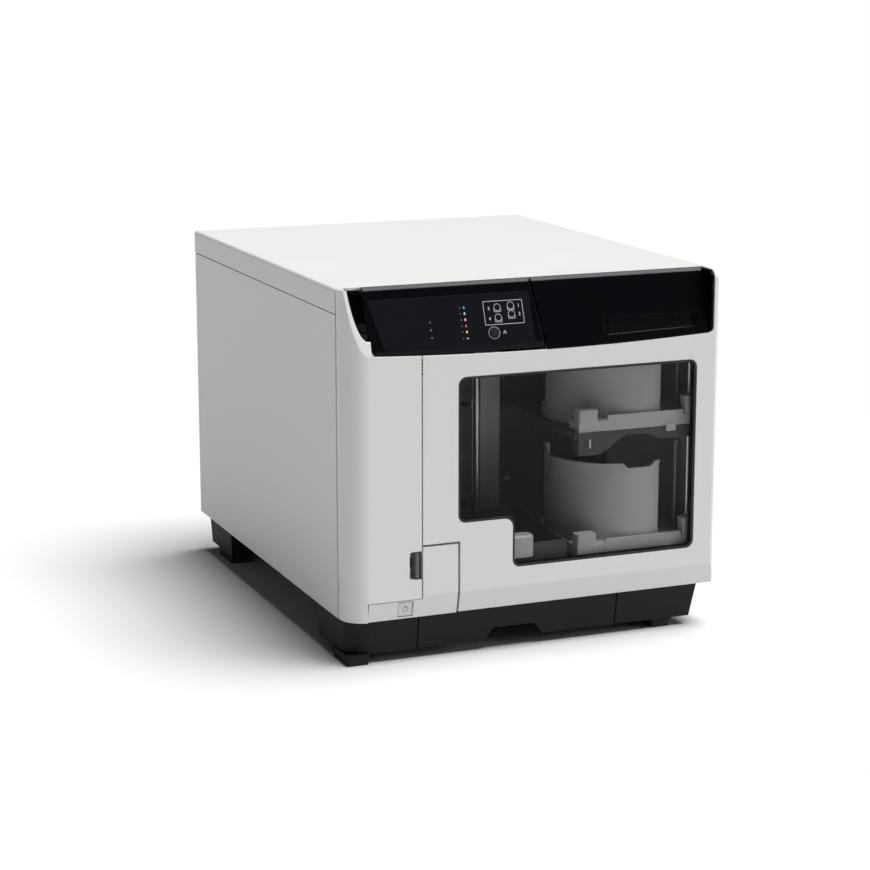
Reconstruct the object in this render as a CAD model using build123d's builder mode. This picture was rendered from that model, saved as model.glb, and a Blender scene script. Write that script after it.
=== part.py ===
from build123d import *
from math import cos, hypot, radians, sin, sqrt, tan
import os

# Desktop disc label printer. A white casing stands on a black plinth. On the front are a tall ink
# cover at the left, a smoked disc cover at the right and a leaning black control panel above them.
# Inside are disc stackers, two disc drives, a label printer and an arm that lifts and swings.
#
# Frame: the origin is on the ground under the middle of the machine, +Z is up, the front faces -Y
# and all lengths are millimetres. Named angles are in degrees.

os.makedirs("parts", exist_ok=True)

# ---------------------------------------------------------------- casing
body_width = 377.0
body_depth = 465.0
body_height = 348.0
base_height = 41.6          # lower edge of the casing over the ground
shell = 2.5                 # sheet of the side panels, rear panel and top cover
rear_sheet = 1.2            # rear panel, set in from the top cover's edge
skin = 3.0                  # moulded wall of the front covers
seam = 1.2                  # open seam round the covers
cover_depth = 27.5          # front plane to the plane where the covers meet the casing
panel_flange = 12.0         # inward flanges of the side panels
lid_skirt = 22.9            # side wall of the top cover
lid_seam = 0.8
lid_edge_radius = 3.0
slip = 0.4                  # clearance of a piece that drops into another
cover_lift = 0.6            # covers hang this far above the plinth

half_width = body_width / 2
front_y = -body_depth / 2
rear_y = body_depth / 2
seam_y = front_y + cover_depth
cover_back_y = seam_y - seam / 2
casing_front_y = seam_y + seam / 2
panel_top_z = body_height - lid_skirt - lid_seam
lid_bottom_z = body_height - lid_skirt
side_inner_x = half_width - shell
rear_inner_y = rear_y - shell
rear_face_y = rear_inner_y + rear_sheet
floor_bottom_z = base_height + shell
floor_top_z = floor_bottom_z + shell / 2
floor_front_y = casing_front_y + shell
cover_bottom_z = base_height + cover_lift

# ---------------------------------------------------------------- covers and their hinges
ink_cover_width = 73.0      # from the left side to the upright seam
corner_radius = 22.5        # front left corner
right_corner_radius = 5.5
chin_height = 20.4          # lower strip of the front that slopes back
chin_setback = 4.5
chin_top_height = 17.8      # top of the strip below the ink cover, over the casing's lower edge
chin_left_reach = 20.5      # from the left side to the strip's end
riser_width = 35.0          # fixed panel beside the ink cover
riser_height = 66.9
riser_gap = 2.0
hinge_inset = 2.5           # hinge axis to the two outer faces beside it
hinge_pin_radius = 1.2
hinge_play = 0.05
knuckle_height = 6.0
knuckle_web = 2.0
knuckle_end_gap = 0.5
knuckle_slot_play = 0.8
low_knuckle_rise = 30.0     # knuckle centre above the cover's lower edge
high_knuckle_drop = 40.0    # knuckle centre below the top of the casing
hinge_boss = 6.5            # thickened upright at the hinge
return_depth = 13.0         # inward ribs round the covers

seam_x = -half_width + ink_cover_width
ink_right_x = seam_x - seam / 2
disc_left_x = seam_x + seam / 2
riser_right_x = disc_left_x + riser_width
chin_left_x = -half_width + chin_left_reach
chin_top_z = base_height + chin_top_height
riser_top_z = base_height + riser_height
crease_z = base_height + chin_height
hinge_y = cover_back_y - hinge_inset
disc_hinge_x = half_width - hinge_inset
ink_hinge_x = -disc_hinge_x
low_knuckle_z = cover_bottom_z + low_knuckle_rise
high_knuckle_z = body_height - high_knuckle_drop
cheek_inner_x = half_width - hinge_boss

# ---------------------------------------------------------------- leaning strip
strip_height = 64.5         # foot of the leaning face below the top
strip_lean = 20.3           # from upright
strip_inset = 0.2           # foot of the leaning face behind the front plane
strip_band = 3.2            # height of the bright band along the top edge
strip_wall = 2.5
smile_rise = 4.6            # the lower edge of the strip rises this much at both ends
smile_x = 9.0
smile_corner = 6.0          # rounding of the strip's two lower corners
split_top_x = 0.5           # slanted gap between control panel and right fascia
split_foot_x = 8.8
split_gap = 1.8
panel_left_inset = 8.0      # left end of the control panel to the left side
lip_top_depth = 13.0        # the corner lip reaches this far back from the front plane at the top
cheek_top_radius = 8.0
end_wall = 1.6
end_wall_setback = 1.2

lean_foot_y = front_y + strip_inset
lean_foot_z = body_height - strip_height
lean_top_z = body_height - strip_band
lean_top_y = lean_foot_y + (lean_top_z - lean_foot_z) * tan(radians(strip_lean))
lean_length = hypot(lean_top_z - lean_foot_z, lean_top_y - lean_foot_y)
lean_plane = Plane(
    origin=(0, lean_foot_y, lean_foot_z),
    x_dir=(1, 0, 0),
    z_dir=(0, -cos(radians(strip_lean)), sin(radians(strip_lean))),
)
smile_half_span = cheek_inner_x - smile_x
smile_low_z = lean_foot_z + 0.5
smile_end_z = smile_low_z + smile_rise
panel_left_x = -half_width + panel_left_inset

# ---------------------------------------------------------------- window of the disc cover
window_left_x = -half_width + 108.5
window_right_x = half_width - 23.5
window_bottom_z = base_height + 38.4
window_top_z = body_height - 83.5
window_step_x = window_left_x + 55.0        # the lower left is cut away
window_step_z = window_bottom_z + 47.5
window_corner = 8.0
window_sheet = 2.5
window_flange = 7.0
window_recess = 1.2

# ---------------------------------------------------------------- buttons and the latch
power_size = 14.2
power_x = -half_width + 57.0
power_z = base_height + 9.4
power_length = 16.0
power_wall = 2.0
power_travel = 2.0
panel_button_radius = 4.2
panel_button_x = -42.0
panel_button_s = 19.5       # up the leaning face from its foot
panel_button_length = 7.0
panel_button_travel = 1.0
latch_recess_width = 12.0
latch_recess_bottom_z = base_height + 36.4
latch_recess_top_z = latch_recess_bottom_z + 27.0
latch_recess_depth = 14.0
latch_wall = 1.5
latch_width = 4.0
latch_travel = 2.5
latch_corner = 3.0
stem_half = 1.5
stem_height = 8.0
button_proud = 0.8

# ---------------------------------------------------------------- stackers
disc_diameter = 120.0
disc_play = 3.0             # between a disc and the stacker's wall
stacker_wall = 2.5
stacker_side_gap = 6.5      # stacker to the right side panel
stacker_front_gap = 12.0    # stacker to the front cover's inner face
stacker_base = 10.0
stacker_front_height = 85.0
stacker_back_height = 95.0
stacker_bead = 1.2
stacker_bead_height = 2.5
stacker_tongue_back = 18.0  # the base's straight front reaches this far behind the wall's front
stacker_tongue_width = 124.0
stacker_front_reach = 4.5   # the base's front edge in front of the wall
thumb_dip_width = 36.0
thumb_dip_depth = 5.0
hand_slot_from = -70.0      # open side of the stacker, as angles about its axis
hand_slot_to = -28.0
arm_slot_from = 66.0        # open side towards the lift, for the arm
arm_slot_to = 170.0
rim_step_angle = 178.0
lower_stacker_z = base_height + 38.4
upper_stacker_z = lower_stacker_z + 120.0

stacker_radius = disc_diameter / 2 + disc_play + stacker_wall
stack_x = side_inner_x - stacker_side_gap - stacker_radius
stack_y = front_y + skin + stacker_front_gap + stacker_radius
stacker_front_y = stack_y - stacker_radius - stacker_front_reach
stacker_left_x = stack_x - stacker_radius - disc_play / 2
shelf_front_height = 22.0
shelf_plate = 6.0
shelf_label_width = 24.0
post_radius = 3.0
post_side_gap = 8.0         # post axis to the side panel
post_front_y = front_y + 38.5
bulkhead_y = front_y + 180.5
bulkhead_wall = 2.0

# ---------------------------------------------------------------- lift column and arm
pivot_x = half_width - 164.5
pivot_y = front_y + 142.5
shaft_x = half_width - 178.9
shaft_y = front_y + 166.5
shaft_radius = 3.8
screw_y = front_y + 182.5
screw_radius = 3.0
bearing_play = 0.05
column_left_x = half_width - 169.8
column_width = 21.1
column_web_y = front_y + 178.5
column_flange = 12.0
column_sheet = 2.0
column_top_z = body_height - 8.0
lift_travel = 165.0
carriage_bottom_z = column_top_z - 34.0
carriage_height = 26.0
arm_thickness = 9.0
arm_hub_radius = 11.0
arm_end_radius = 10.0
arm_pin_radius = 4.0
gripper_drop = 5.0

# ---------------------------------------------------------------- drives and printer
drive_width = 134.0
drive_height = 41.0
drive_depth = 170.0
drive_right_x = half_width - 188.5
drive_front_y = front_y + 154.5
upper_drive_z = body_height - 97.0
lower_drive_z = upper_drive_z - drive_height - 2.0
tray_width = 128.0
tray_thickness = 6.0
tray_play = 0.4
cage_sheet = 1.5
printer_height = 90.0
printer_bottom_z = lower_drive_z - printer_height - 6.0
printer_tray_rise = 36.0    # tray over the printer's underside
printer_wall = 3.0
head_width = 34.0
head_travel = 40.0
head_rod_radius = 3.0

drive_left_x = drive_right_x - drive_width
column_foot_z = printer_bottom_z - 22.0
drive_x = (drive_left_x + drive_right_x) / 2
arm_reach = hypot(stack_x - pivot_x, stack_y - pivot_y)
tray_disc_y = pivot_y - sqrt(arm_reach ** 2 - (pivot_x - drive_x) ** 2)
tray_front_y = drive_front_y - 2.0
tray_open_front_y = tray_disc_y - disc_diameter / 2 - 2.0
tray_travel = tray_front_y - tray_open_front_y
disc_rest_y = tray_disc_y + tray_travel

# ---------------------------------------------------------------- ink bay
ink_slots = 6
ink_pitch = 29.0
ink_bay_bottom_z = base_height + 58.4
ink_bay_front_y = front_y + 32.5
ink_bay_depth = 98.0
ink_bay_right_x = -half_width + 55.0
ink_bay_wall = 1.5
cartridge_gap = 1.0


def level(z):
    """Plane of a plan sketch at the height z."""
    return Plane.XY.offset(z)


def front_plane(y):
    """Plane of a front view sketch at the depth y. Its normal points to the front."""
    return Plane.XZ.offset(-y)


def side_plane(x):
    """Plane of a side view sketch, with Y across and Z up. Its normal points to +X."""
    return Plane.YZ.offset(x)


def block(x0, x1, y0, y1, z0, z1, mode=Mode.ADD):
    """Square cornered block between two corners, in the part that is being built."""
    with Locations(((x0 + x1) / 2, (y0 + y1) / 2, (z0 + z1) / 2)):
        Box(x1 - x0, y1 - y0, z1 - z0, mode=mode)


def upright(x, y, z0, z1, radius, mode=Mode.ADD):
    """Upright cylinder from z0 to z1, in the part that is being built."""
    with Locations((x, y, (z0 + z1) / 2)):
        Cylinder(radius, z1 - z0, mode=mode)


# ================================================================ casing panels
# The right side panel is a folded sheet. Its front edge carries the knuckles of the cover's hinge.
with BuildPart() as side_panel_right:
    with BuildSketch(level(base_height)):
        Polygon(
            (half_width, casing_front_y),
            (half_width, rear_inner_y),
            (side_inner_x, rear_inner_y),
            (side_inner_x, floor_front_y),
            (half_width - panel_flange, floor_front_y),
            (half_width - panel_flange, casing_front_y),
            align=None,
        )
    extrude(amount=panel_top_z - base_height)
    block(half_width - panel_flange, side_inner_x, floor_front_y, rear_inner_y, base_height, floor_bottom_z)
    for knuckle_z in (low_knuckle_z, high_knuckle_z):
        upright(disc_hinge_x, hinge_y, knuckle_z - knuckle_height / 2, knuckle_z + knuckle_height / 2,
                hinge_inset)
        block(disc_hinge_x - knuckle_web / 2, disc_hinge_x + knuckle_web / 2, hinge_y, floor_front_y,
              knuckle_z - knuckle_height / 2, knuckle_z + knuckle_height / 2)
        upright(disc_hinge_x, hinge_y, knuckle_z - knuckle_height, knuckle_z + knuckle_height,
                hinge_pin_radius + hinge_play, mode=Mode.SUBTRACT)
side_panel_right.part.label = "side_panel_right"
export_step(side_panel_right.part, "parts/side_panel_right.step")

with BuildPart() as side_panel_left:
    mirror(side_panel_right.part, about=Plane.YZ)
side_panel_left.part.label = "side_panel_left"
export_step(side_panel_left.part, "parts/side_panel_left.step")

# The rear panel is flat, with a round fan grille, two rows of air slots and two cut-outs.
fan_x = half_width - 83.5
fan_z = body_height - 123.0
fan_size = 80.0
fan_opening_radius = 37.0
grille_rings = 4
grille_bar = 2.4
grille_ring_gap = 5.6
vent_length = 34.0
vent_width = 4.0
vent_pitch = 9.0
vent_rows = 8
vent_x = -half_width + 78.5
vent_z = body_height - 148.0
inlet_x = half_width - 48.5
inlet_z = base_height + 38.4
inlet_width = 27.5
inlet_height = 20.0
usb_x = -20.0
usb_width = 14.0
usb_height = 12.0
board_z = floor_top_z + 6.0
board_thickness = 1.6

with BuildPart() as rear_panel:
    with BuildSketch(front_plane(rear_face_y)):
        with Locations((0, (base_height + panel_top_z) / 2)):
            Rectangle(body_width, panel_top_z - base_height)
        for ring in range(grille_rings):
            outer = fan_opening_radius - ring * (grille_ring_gap + grille_bar)
            with BuildSketch(mode=Mode.SUBTRACT):
                with Locations((fan_x, fan_z)):
                    Circle(outer)
                    Circle(outer - grille_ring_gap, mode=Mode.SUBTRACT)
                    Rectangle(grille_bar, 2 * outer, mode=Mode.SUBTRACT)
                    Rectangle(2 * outer, grille_bar, mode=Mode.SUBTRACT)
        with Locations((vent_x, vent_z)):
            with GridLocations(vent_length * 1.3, vent_pitch, 2, vent_rows):
                Rectangle(vent_length, vent_width, mode=Mode.SUBTRACT)
        with Locations((inlet_x, inlet_z)):
            Rectangle(inlet_width, inlet_height, mode=Mode.SUBTRACT)
        with Locations((usb_x, board_z + board_thickness + usb_height / 2)):
            Rectangle(usb_width + 2 * slip, usb_height + 2 * slip, mode=Mode.SUBTRACT)
    extrude(amount=rear_sheet)
rear_panel.part.label = "rear_panel"
export_step(rear_panel.part, "parts/rear_panel.step")

# The top cover is a shallow pan with rounded upper edges, open at the front.
with BuildPart() as top_cover:
    with BuildSketch(level(lid_bottom_z)):
        with Locations((0, (casing_front_y + rear_y) / 2)):
            Rectangle(body_width, rear_y - casing_front_y)
    extrude(amount=lid_skirt)
    top_face = top_cover.faces().sort_by(Axis.Z)[-1]
    front_edge = top_face.edges().sort_by(Axis.Y)[0]
    rounded = [edge for edge in top_face.edges() if edge.center().Y > front_edge.center().Y + slip]
    fillet(rounded, lid_edge_radius)
    with BuildSketch(level(lid_bottom_z)):
        with Locations((0, (casing_front_y + rear_inner_y) / 2)):
            Rectangle(body_width - 2 * shell, rear_inner_y - casing_front_y)
    extrude(amount=lid_skirt - shell, mode=Mode.SUBTRACT)
top_cover.part.label = "top_cover"
export_step(top_cover.part, "parts/top_cover.step")

# The floor is a steel plate on the side panels' flanges.
with BuildPart() as floor_plate:
    block(-side_inner_x, side_inner_x, floor_front_y, rear_inner_y, floor_bottom_z, floor_top_z)
floor_plate.part.label = "floor_plate"
export_step(floor_plate.part, "parts/floor_plate.step")

# ================================================================ plinth and feet
plinth_bottom_z = 9.0
plinth_side_inset = 2.2
plinth_front_inset = 5.5
plinth_right_inset = 16.0
plinth_lean = 5.0           # how far the plinth's faces run in from top to bottom
plinth_back_y = front_y + 93.5
plinth_wall = 4.0
plinth_roof = 4.0
plinth_joint = 1.2
left_joint_x = -half_width + 71.5
right_joint_x = half_width - 101.5
grip_width = 60.0           # hand grip cut into the lower front edge
grip_top_width = 42.0
grip_height = 12.0
grip_x = -19.0


foot_height = 5.0
foot_radius = 3.0
foot_play = 1.0             # the solid neck over a foot reaches this far past it
# Each foot is its middle in X and Y, then its width and depth.
front_left_foot = (-half_width + 13.0, front_y + 28.5, 21.0, 40.0)
front_right_foot = (half_width - 49.5, front_y + 28.5, 19.0, 30.0)
rear_left_foot = (-half_width + 22.0, rear_y - 54.5, 22.0, 46.0)
rear_right_foot = (half_width - 49.5, rear_y - 54.5, 22.0, 46.0)


def plinth_outline(z, left, right, front, back):
    """Plan of the front plinth at the height z, with the casing's rounded left corner."""
    with BuildSketch(level(z)) as outline:
        with BuildLine():
            corner = (left + corner_radius, front + corner_radius)
            Polyline((left, corner[1]), (left, back), (right, back), (right, front), (corner[0], front))
            CenterArc(corner, corner_radius, 180, 90)
        make_face()
    return outline.sketch


plinth_left_x = -half_width + plinth_side_inset
plinth_right_x = half_width - plinth_right_inset
plinth_front_y = front_y + plinth_front_inset
hollow_front_y = plinth_front_y + plinth_lean + plinth_wall
hollow_back_y = plinth_back_y - plinth_lean - plinth_wall

# The front plinth is three moulded hollow segments, open below. A solid neck carries each foot.
# The middle segment has a hand grip cut into its lower edge.
for name, x0, x1, hollow_x0, hollow_x1, foot in (
    ("front_plinth_left", plinth_left_x, left_joint_x - plinth_joint / 2,
     front_left_foot[0] + front_left_foot[2] / 2 + plinth_wall, left_joint_x - plinth_wall, front_left_foot),
    ("front_plinth_centre", left_joint_x + plinth_joint / 2, right_joint_x - plinth_joint / 2,
     left_joint_x + plinth_wall, right_joint_x - plinth_wall, None),
    ("front_plinth_right", right_joint_x + plinth_joint / 2, plinth_right_x,
     right_joint_x + plinth_wall, front_right_foot[0] - front_right_foot[2] / 2 - plinth_wall,
     front_right_foot),
):
    with BuildPart() as plinth:
        add(plinth_outline(base_height, plinth_left_x, plinth_right_x, plinth_front_y, plinth_back_y))
        add(plinth_outline(plinth_bottom_z, plinth_left_x + 1, plinth_right_x - plinth_lean,
                           plinth_front_y + plinth_lean, plinth_back_y - plinth_lean))
        loft()
        block(x0, x1, -body_depth, body_depth, 0, body_height, mode=Mode.INTERSECT)
        block(hollow_x0, hollow_x1, hollow_front_y, hollow_back_y, 0, base_height - plinth_roof,
              mode=Mode.SUBTRACT)
        if foot is None:
            with BuildSketch(front_plane(hollow_front_y + 1)):
                with Locations((grip_x, plinth_bottom_z)):
                    Polygon((-grip_width / 2, 0), (grip_width / 2, 0), (grip_top_width / 2, grip_height),
                            (-grip_top_width / 2, grip_height), align=None)
            extrude(amount=body_depth, mode=Mode.SUBTRACT)
        else:
            with BuildSketch(level(foot_height)):
                with Locations((foot[0], foot[1])):
                    RectangleRounded(foot[2] + 2 * foot_play, foot[3] + 2 * foot_play, foot_radius)
            extrude(amount=plinth_bottom_z + foot_play - foot_height)
    plinth.part.label = name
    export_step(plinth.part, f"parts/{name}.step")

# The rear plinth is one bar with an open underside and a neck over each rear foot.
rear_plinth_left_x = -180.0
rear_plinth_right_x = 168.0
rear_plinth_front_y = 150.0
rear_plinth_back_y = 226.0
with BuildPart() as rear_plinth:
    with BuildSketch(level(base_height)):
        Polygon((rear_plinth_left_x, rear_plinth_front_y), (rear_plinth_right_x, rear_plinth_front_y),
                (rear_plinth_right_x, rear_plinth_back_y), (rear_plinth_left_x, rear_plinth_back_y),
                align=None)
    with BuildSketch(level(plinth_bottom_z)):
        Polygon((rear_plinth_left_x + 1, rear_plinth_front_y + 1),
                (rear_plinth_right_x - plinth_lean, rear_plinth_front_y + 1),
                (rear_plinth_right_x - plinth_lean, rear_plinth_back_y - plinth_lean),
                (rear_plinth_left_x + 1, rear_plinth_back_y - plinth_lean), align=None)
    loft()
    block(rear_left_foot[0] + rear_left_foot[2] / 2 + plinth_wall,
          rear_right_foot[0] - rear_right_foot[2] / 2 - plinth_wall,
          rear_plinth_front_y + plinth_wall, rear_plinth_back_y - plinth_lean - plinth_wall,
          0, base_height - plinth_roof, mode=Mode.SUBTRACT)
    with BuildSketch(level(foot_height)):
        for foot in (rear_left_foot, rear_right_foot):
            with Locations((foot[0], foot[1])):
                RectangleRounded(foot[2] + 2 * foot_play, foot[3] + 2 * foot_play, foot_radius)
    extrude(amount=plinth_bottom_z + foot_play - foot_height)
rear_plinth.part.label = "rear_plinth"
export_step(rear_plinth.part, "parts/rear_plinth.step")

# Four rubber pads carry the machine.
with BuildPart() as rubber_feet:
    with BuildSketch(level(0)):
        for foot in (front_left_foot, front_right_foot, rear_left_foot, rear_right_foot):
            with Locations((foot[0], foot[1])):
                RectangleRounded(foot[2], foot[3], foot_radius)
    extrude(amount=foot_height)
rubber_feet.part.label = "rubber_feet"
export_step(rubber_feet.part, "parts/rubber_feet.step")

# ================================================================ front covers
far = 2 * body_depth        # reach of the tools that cut away everything on one side
rib = 2.0
overlay_thickness = 0.5


def chin_face_y(z):
    """Depth of the front's outer face at the height z, on the strip that slopes back."""
    return front_y + chin_setback * (crease_z - z) / chin_height


def skin_profile(x, bottom_z, top_z):
    """Side view of the front skin in the plane x: upright, with the lower strip sloping back."""
    with BuildSketch(side_plane(x)) as profile:
        Polygon(
            (chin_face_y(bottom_z), bottom_z),
            (front_y, crease_z),
            (front_y, top_z),
            (front_y + skin, top_z),
            (front_y + skin, crease_z),
            (chin_face_y(bottom_z) + skin, bottom_z),
            align=None,
        )
    return profile.sketch


def corner_area(z, inset, right_x):
    """Plan area behind the front face and round its left corner, at the inset and up to right_x."""
    corner = (-half_width + corner_radius, front_y + corner_radius)
    left = -half_width + inset
    front = front_y + inset
    with BuildSketch(level(z)) as area:
        with BuildLine():
            Polyline((corner[0], front), (right_x, front), (right_x, cover_back_y), (left, cover_back_y),
                     (left, corner[1]))
            CenterArc(corner, corner_radius - inset, 180, 90)
        make_face()
    return area.sketch


def above_smile(x0, x1, drop):
    """Front view area above the covers' curved upper edge, between x0 and x1, moved down by drop."""
    left = (smile_x - smile_half_span, smile_end_z - drop)
    right = (smile_x + smile_half_span, smile_end_z - drop)
    radius = (smile_half_span ** 2 + smile_rise ** 2) / (2 * smile_rise)
    with BuildSketch(front_plane(0)) as area:
        with BuildLine():
            RadiusArc(left, right, -radius)
            Polyline(right, (right[0], far), (left[0], far), left)
        make_face()
        low_corners = area.vertices().group_by(Axis.Z)[0]
        fillet(low_corners, smile_corner)
        with Locations(((x0 + x1) / 2, far / 2)):
            Rectangle(x1 - x0, 2 * far, mode=Mode.INTERSECT)
    return area.sketch


def strip_profile(x):
    """Side view of the leaning strip: leaning wall, narrow upper band and flat top."""
    wall_y = strip_wall / cos(radians(strip_lean))
    with BuildSketch(side_plane(x)) as profile:
        Polygon(
            (lean_foot_y, lean_foot_z),
            (lean_top_y, lean_top_z),
            (lean_top_y + strip_band, body_height),
            (cover_back_y, body_height),
            (cover_back_y, body_height - strip_wall),
            (lean_top_y + wall_y, body_height - strip_wall),
            (lean_foot_y + wall_y, lean_foot_z),
            align=None,
        )
    return profile.sketch


def split_side(offset, reach):
    """Front view area on one side of the slanted split, offset from its middle line."""
    top_x = split_top_x + offset
    foot_x = split_foot_x + offset
    slope = (top_x - foot_x) / (body_height - lean_foot_z)
    drop = 20.0
    low_x = foot_x - slope * drop
    high_x = top_x + slope * drop
    with BuildSketch(front_plane(0)) as area:
        Polygon((low_x, lean_foot_z - drop), (high_x, body_height + drop),
                (reach, body_height + drop), (reach, lean_foot_z - drop), align=None)
    return area.sketch


# The fixed lower part of the front: the chin below the ink cover, with the power button's sleeve,
# and the riser beside it. A tongue runs back under the floor plate.
with BuildPart() as front_lower_frame:
    extrude(skin_profile(chin_left_x, base_height, riser_top_z), amount=riser_right_x - chin_left_x)
    block(-far, disc_left_x, -far, far, chin_top_z, far, mode=Mode.SUBTRACT)
    block(chin_left_x, riser_right_x, chin_face_y(base_height) + skin / 2, floor_front_y + panel_flange,
          base_height, floor_bottom_z)
    for rib_x in (disc_left_x, riser_right_x - rib):
        block(rib_x, rib_x + rib, front_y + skin / 2, front_y + return_depth, crease_z, riser_top_z)
    block(disc_left_x, riser_right_x, front_y + skin / 2, front_y + return_depth,
          riser_top_z - rib, riser_top_z)
    sleeve = power_size / 2 + slip + power_wall
    block(power_x - sleeve, power_x + sleeve, front_y + chin_setback, front_y + power_length - power_travel,
          base_height, chin_top_z)
    hole = power_size / 2 + slip
    block(power_x - hole, power_x + hole, -far, front_y + power_length + 2 * power_travel,
          power_z - hole, power_z + hole, mode=Mode.SUBTRACT)
front_lower_frame.part.label = "front_lower_frame"
export_step(front_lower_frame.part, "parts/front_lower_frame.step")

# The power button follows the slope of the chin.
with BuildPart() as power_button:
    low_z = power_z - power_size / 2
    high_z = power_z + power_size / 2
    with BuildSketch(side_plane(power_x - power_size / 2)):
        Polygon(
            (chin_face_y(low_z) + slip, low_z),
            (chin_face_y(high_z) + slip, high_z),
            (front_y + power_length, high_z),
            (front_y + power_length, low_z),
            align=None,
        )
    extrude(amount=power_size)
    fillet(power_button.faces().sort_by(Axis.Y)[0].edges(), 1.0)
power_button.part.label = "power_button"
export_step(power_button.part, "parts/power_button.step")

# The ink cover: a thin shell round the left corner, with a boss along its hinge side, a finger
# recess at its free edge and a lip that rises past the end of the control panel.
with BuildPart() as ink_cover:
    extrude(corner_area(cover_bottom_z, 0, ink_right_x), amount=body_height - cover_bottom_z)
    extrude(corner_area(cover_bottom_z, skin, ink_right_x), amount=body_height - cover_bottom_z, mode=Mode.SUBTRACT)
    block(-half_width, -half_width + hinge_boss, hinge_y - hinge_inset - rib, cover_back_y,
          cover_bottom_z, body_height)
    block(ink_right_x - rib, ink_right_x, front_y + skin / 2, front_y + return_depth,
          chin_top_z, smile_low_z - skin)
    for rib_z in (chin_top_z + seam / 2, smile_low_z - skin - rib):
        block(chin_left_x, ink_right_x, front_y + skin / 2, front_y + return_depth, rib_z, rib_z + rib)
    block(ink_right_x - latch_recess_width - latch_wall, ink_right_x, front_y + skin / 2,
          front_y + latch_recess_depth + latch_wall,
          latch_recess_bottom_z - latch_wall, latch_recess_top_z + latch_wall)
    extrude(corner_area(0, 0, ink_right_x), amount=far, mode=Mode.INTERSECT)
    # Below, the cover stops at the chin.
    block(chin_left_x - seam, far, -far, far, 0, chin_top_z + seam / 2, mode=Mode.SUBTRACT)
    # Above, its edge follows the curve under the control panel, and slopes back round the corner.
    extrude(above_smile(smile_x - smile_half_span, far, 0), amount=far, mode=Mode.SUBTRACT)
    with BuildSketch(side_plane(-half_width - 1)):
        Polygon((front_y + lip_top_depth, body_height), (front_y, smile_end_z), (-far, smile_end_z),
                (-far, body_height + 1), (front_y + lip_top_depth, body_height + 1), align=None)
    extrude(amount=smile_x - smile_half_span + half_width + 2, mode=Mode.SUBTRACT)
    # Finger recess, open to the free edge.
    with BuildSketch(front_plane(front_y + latch_recess_depth)):
        with Locations((ink_right_x, (latch_recess_bottom_z + latch_recess_top_z) / 2)):
            RectangleRounded(2 * latch_recess_width, latch_recess_top_z - latch_recess_bottom_z,
                             latch_corner)
    extrude(amount=2 * latch_recess_depth, mode=Mode.SUBTRACT)
    # Slot for the latch's stem.
    latch_mid_x = ink_right_x - latch_recess_width / 2 + latch_travel
    latch_mid_z = (latch_recess_bottom_z + latch_recess_top_z) / 2
    block(latch_mid_x - stem_half - latch_travel - slip, latch_mid_x + stem_half + slip,
          front_y + latch_recess_depth - 1, front_y + latch_recess_depth + 2 * latch_wall,
          latch_mid_z - stem_height / 2 - slip, latch_mid_z + stem_height / 2 + slip, mode=Mode.SUBTRACT)
    # Rounded seam edge about the hinge axis, slots for the knuckles and the pins' bores.
    block(-far, ink_hinge_x, hinge_y, far, 0, far, mode=Mode.SUBTRACT)
    upright(ink_hinge_x, hinge_y, cover_bottom_z, body_height, hinge_inset)
    for knuckle_z in (low_knuckle_z, high_knuckle_z):
        slot_half = knuckle_height / 2 + knuckle_end_gap
        upright(ink_hinge_x, hinge_y, knuckle_z - slot_half, knuckle_z + slot_half,
                hinge_inset + knuckle_slot_play, mode=Mode.SUBTRACT)
        upright(ink_hinge_x, hinge_y, knuckle_z - 2 * knuckle_height, knuckle_z + 2 * knuckle_height,
                hinge_pin_radius + hinge_play, mode=Mode.SUBTRACT)
ink_cover.part.label = "ink_cover"
export_step(ink_cover.part, "parts/ink_cover.step")

# The latch lever: an upright grip in the recess, a stem through its back wall and a keeper behind.
with BuildPart() as ink_cover_latch:
    grip_back_y = front_y + latch_recess_depth - slip
    with BuildSketch(level(latch_recess_bottom_z + latch_wall)):
        with Locations((latch_mid_x, (front_y + latch_wall + grip_back_y) / 2)):
            RectangleRounded(latch_width, grip_back_y - front_y - latch_wall, latch_width / 2 - 0.2)
    extrude(amount=latch_recess_top_z - latch_recess_bottom_z - 2 * latch_wall)
    keeper_front_y = front_y + latch_recess_depth + latch_wall + slip
    block(latch_mid_x - stem_half, latch_mid_x + stem_half, grip_back_y - latch_wall, keeper_front_y,
          latch_mid_z - stem_height / 2, latch_mid_z + stem_height / 2)
    block(latch_mid_x - latch_width, latch_mid_x + latch_width, keeper_front_y, keeper_front_y + latch_wall,
          latch_mid_z - stem_height, latch_mid_z + stem_height)
ink_cover_latch.part.label = "ink_cover_latch"
export_step(ink_cover_latch.part, "parts/ink_cover_latch.step")

# Four steel pins join the knuckles and the covers.
with BuildPart() as hinge_pins:
    for hinge_x in (ink_hinge_x, disc_hinge_x):
        for knuckle_z in (low_knuckle_z, high_knuckle_z):
            upright(hinge_x, hinge_y, knuckle_z - 1.8 * knuckle_height, knuckle_z + 1.8 * knuckle_height,
                    hinge_pin_radius)
hinge_pins.part.label = "hinge_pins"
export_step(hinge_pins.part, "parts/hinge_pins.step")

# ================================================================ control panel
overlay_left_x = -half_width + 26.7
overlay_right_x = split_top_x - 2.9
overlay_low_s = 8.6
overlay_high_s = 56.5
overlay_slant = 11.3        # its left end slopes in by this much
overlay_corners = (
    (overlay_left_x, overlay_high_s),
    (overlay_right_x, overlay_high_s),
    (overlay_right_x, overlay_low_s),
    (overlay_left_x + overlay_slant, overlay_low_s),
)
overlay_corner_radius = 2.0
collar = 1.3

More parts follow.
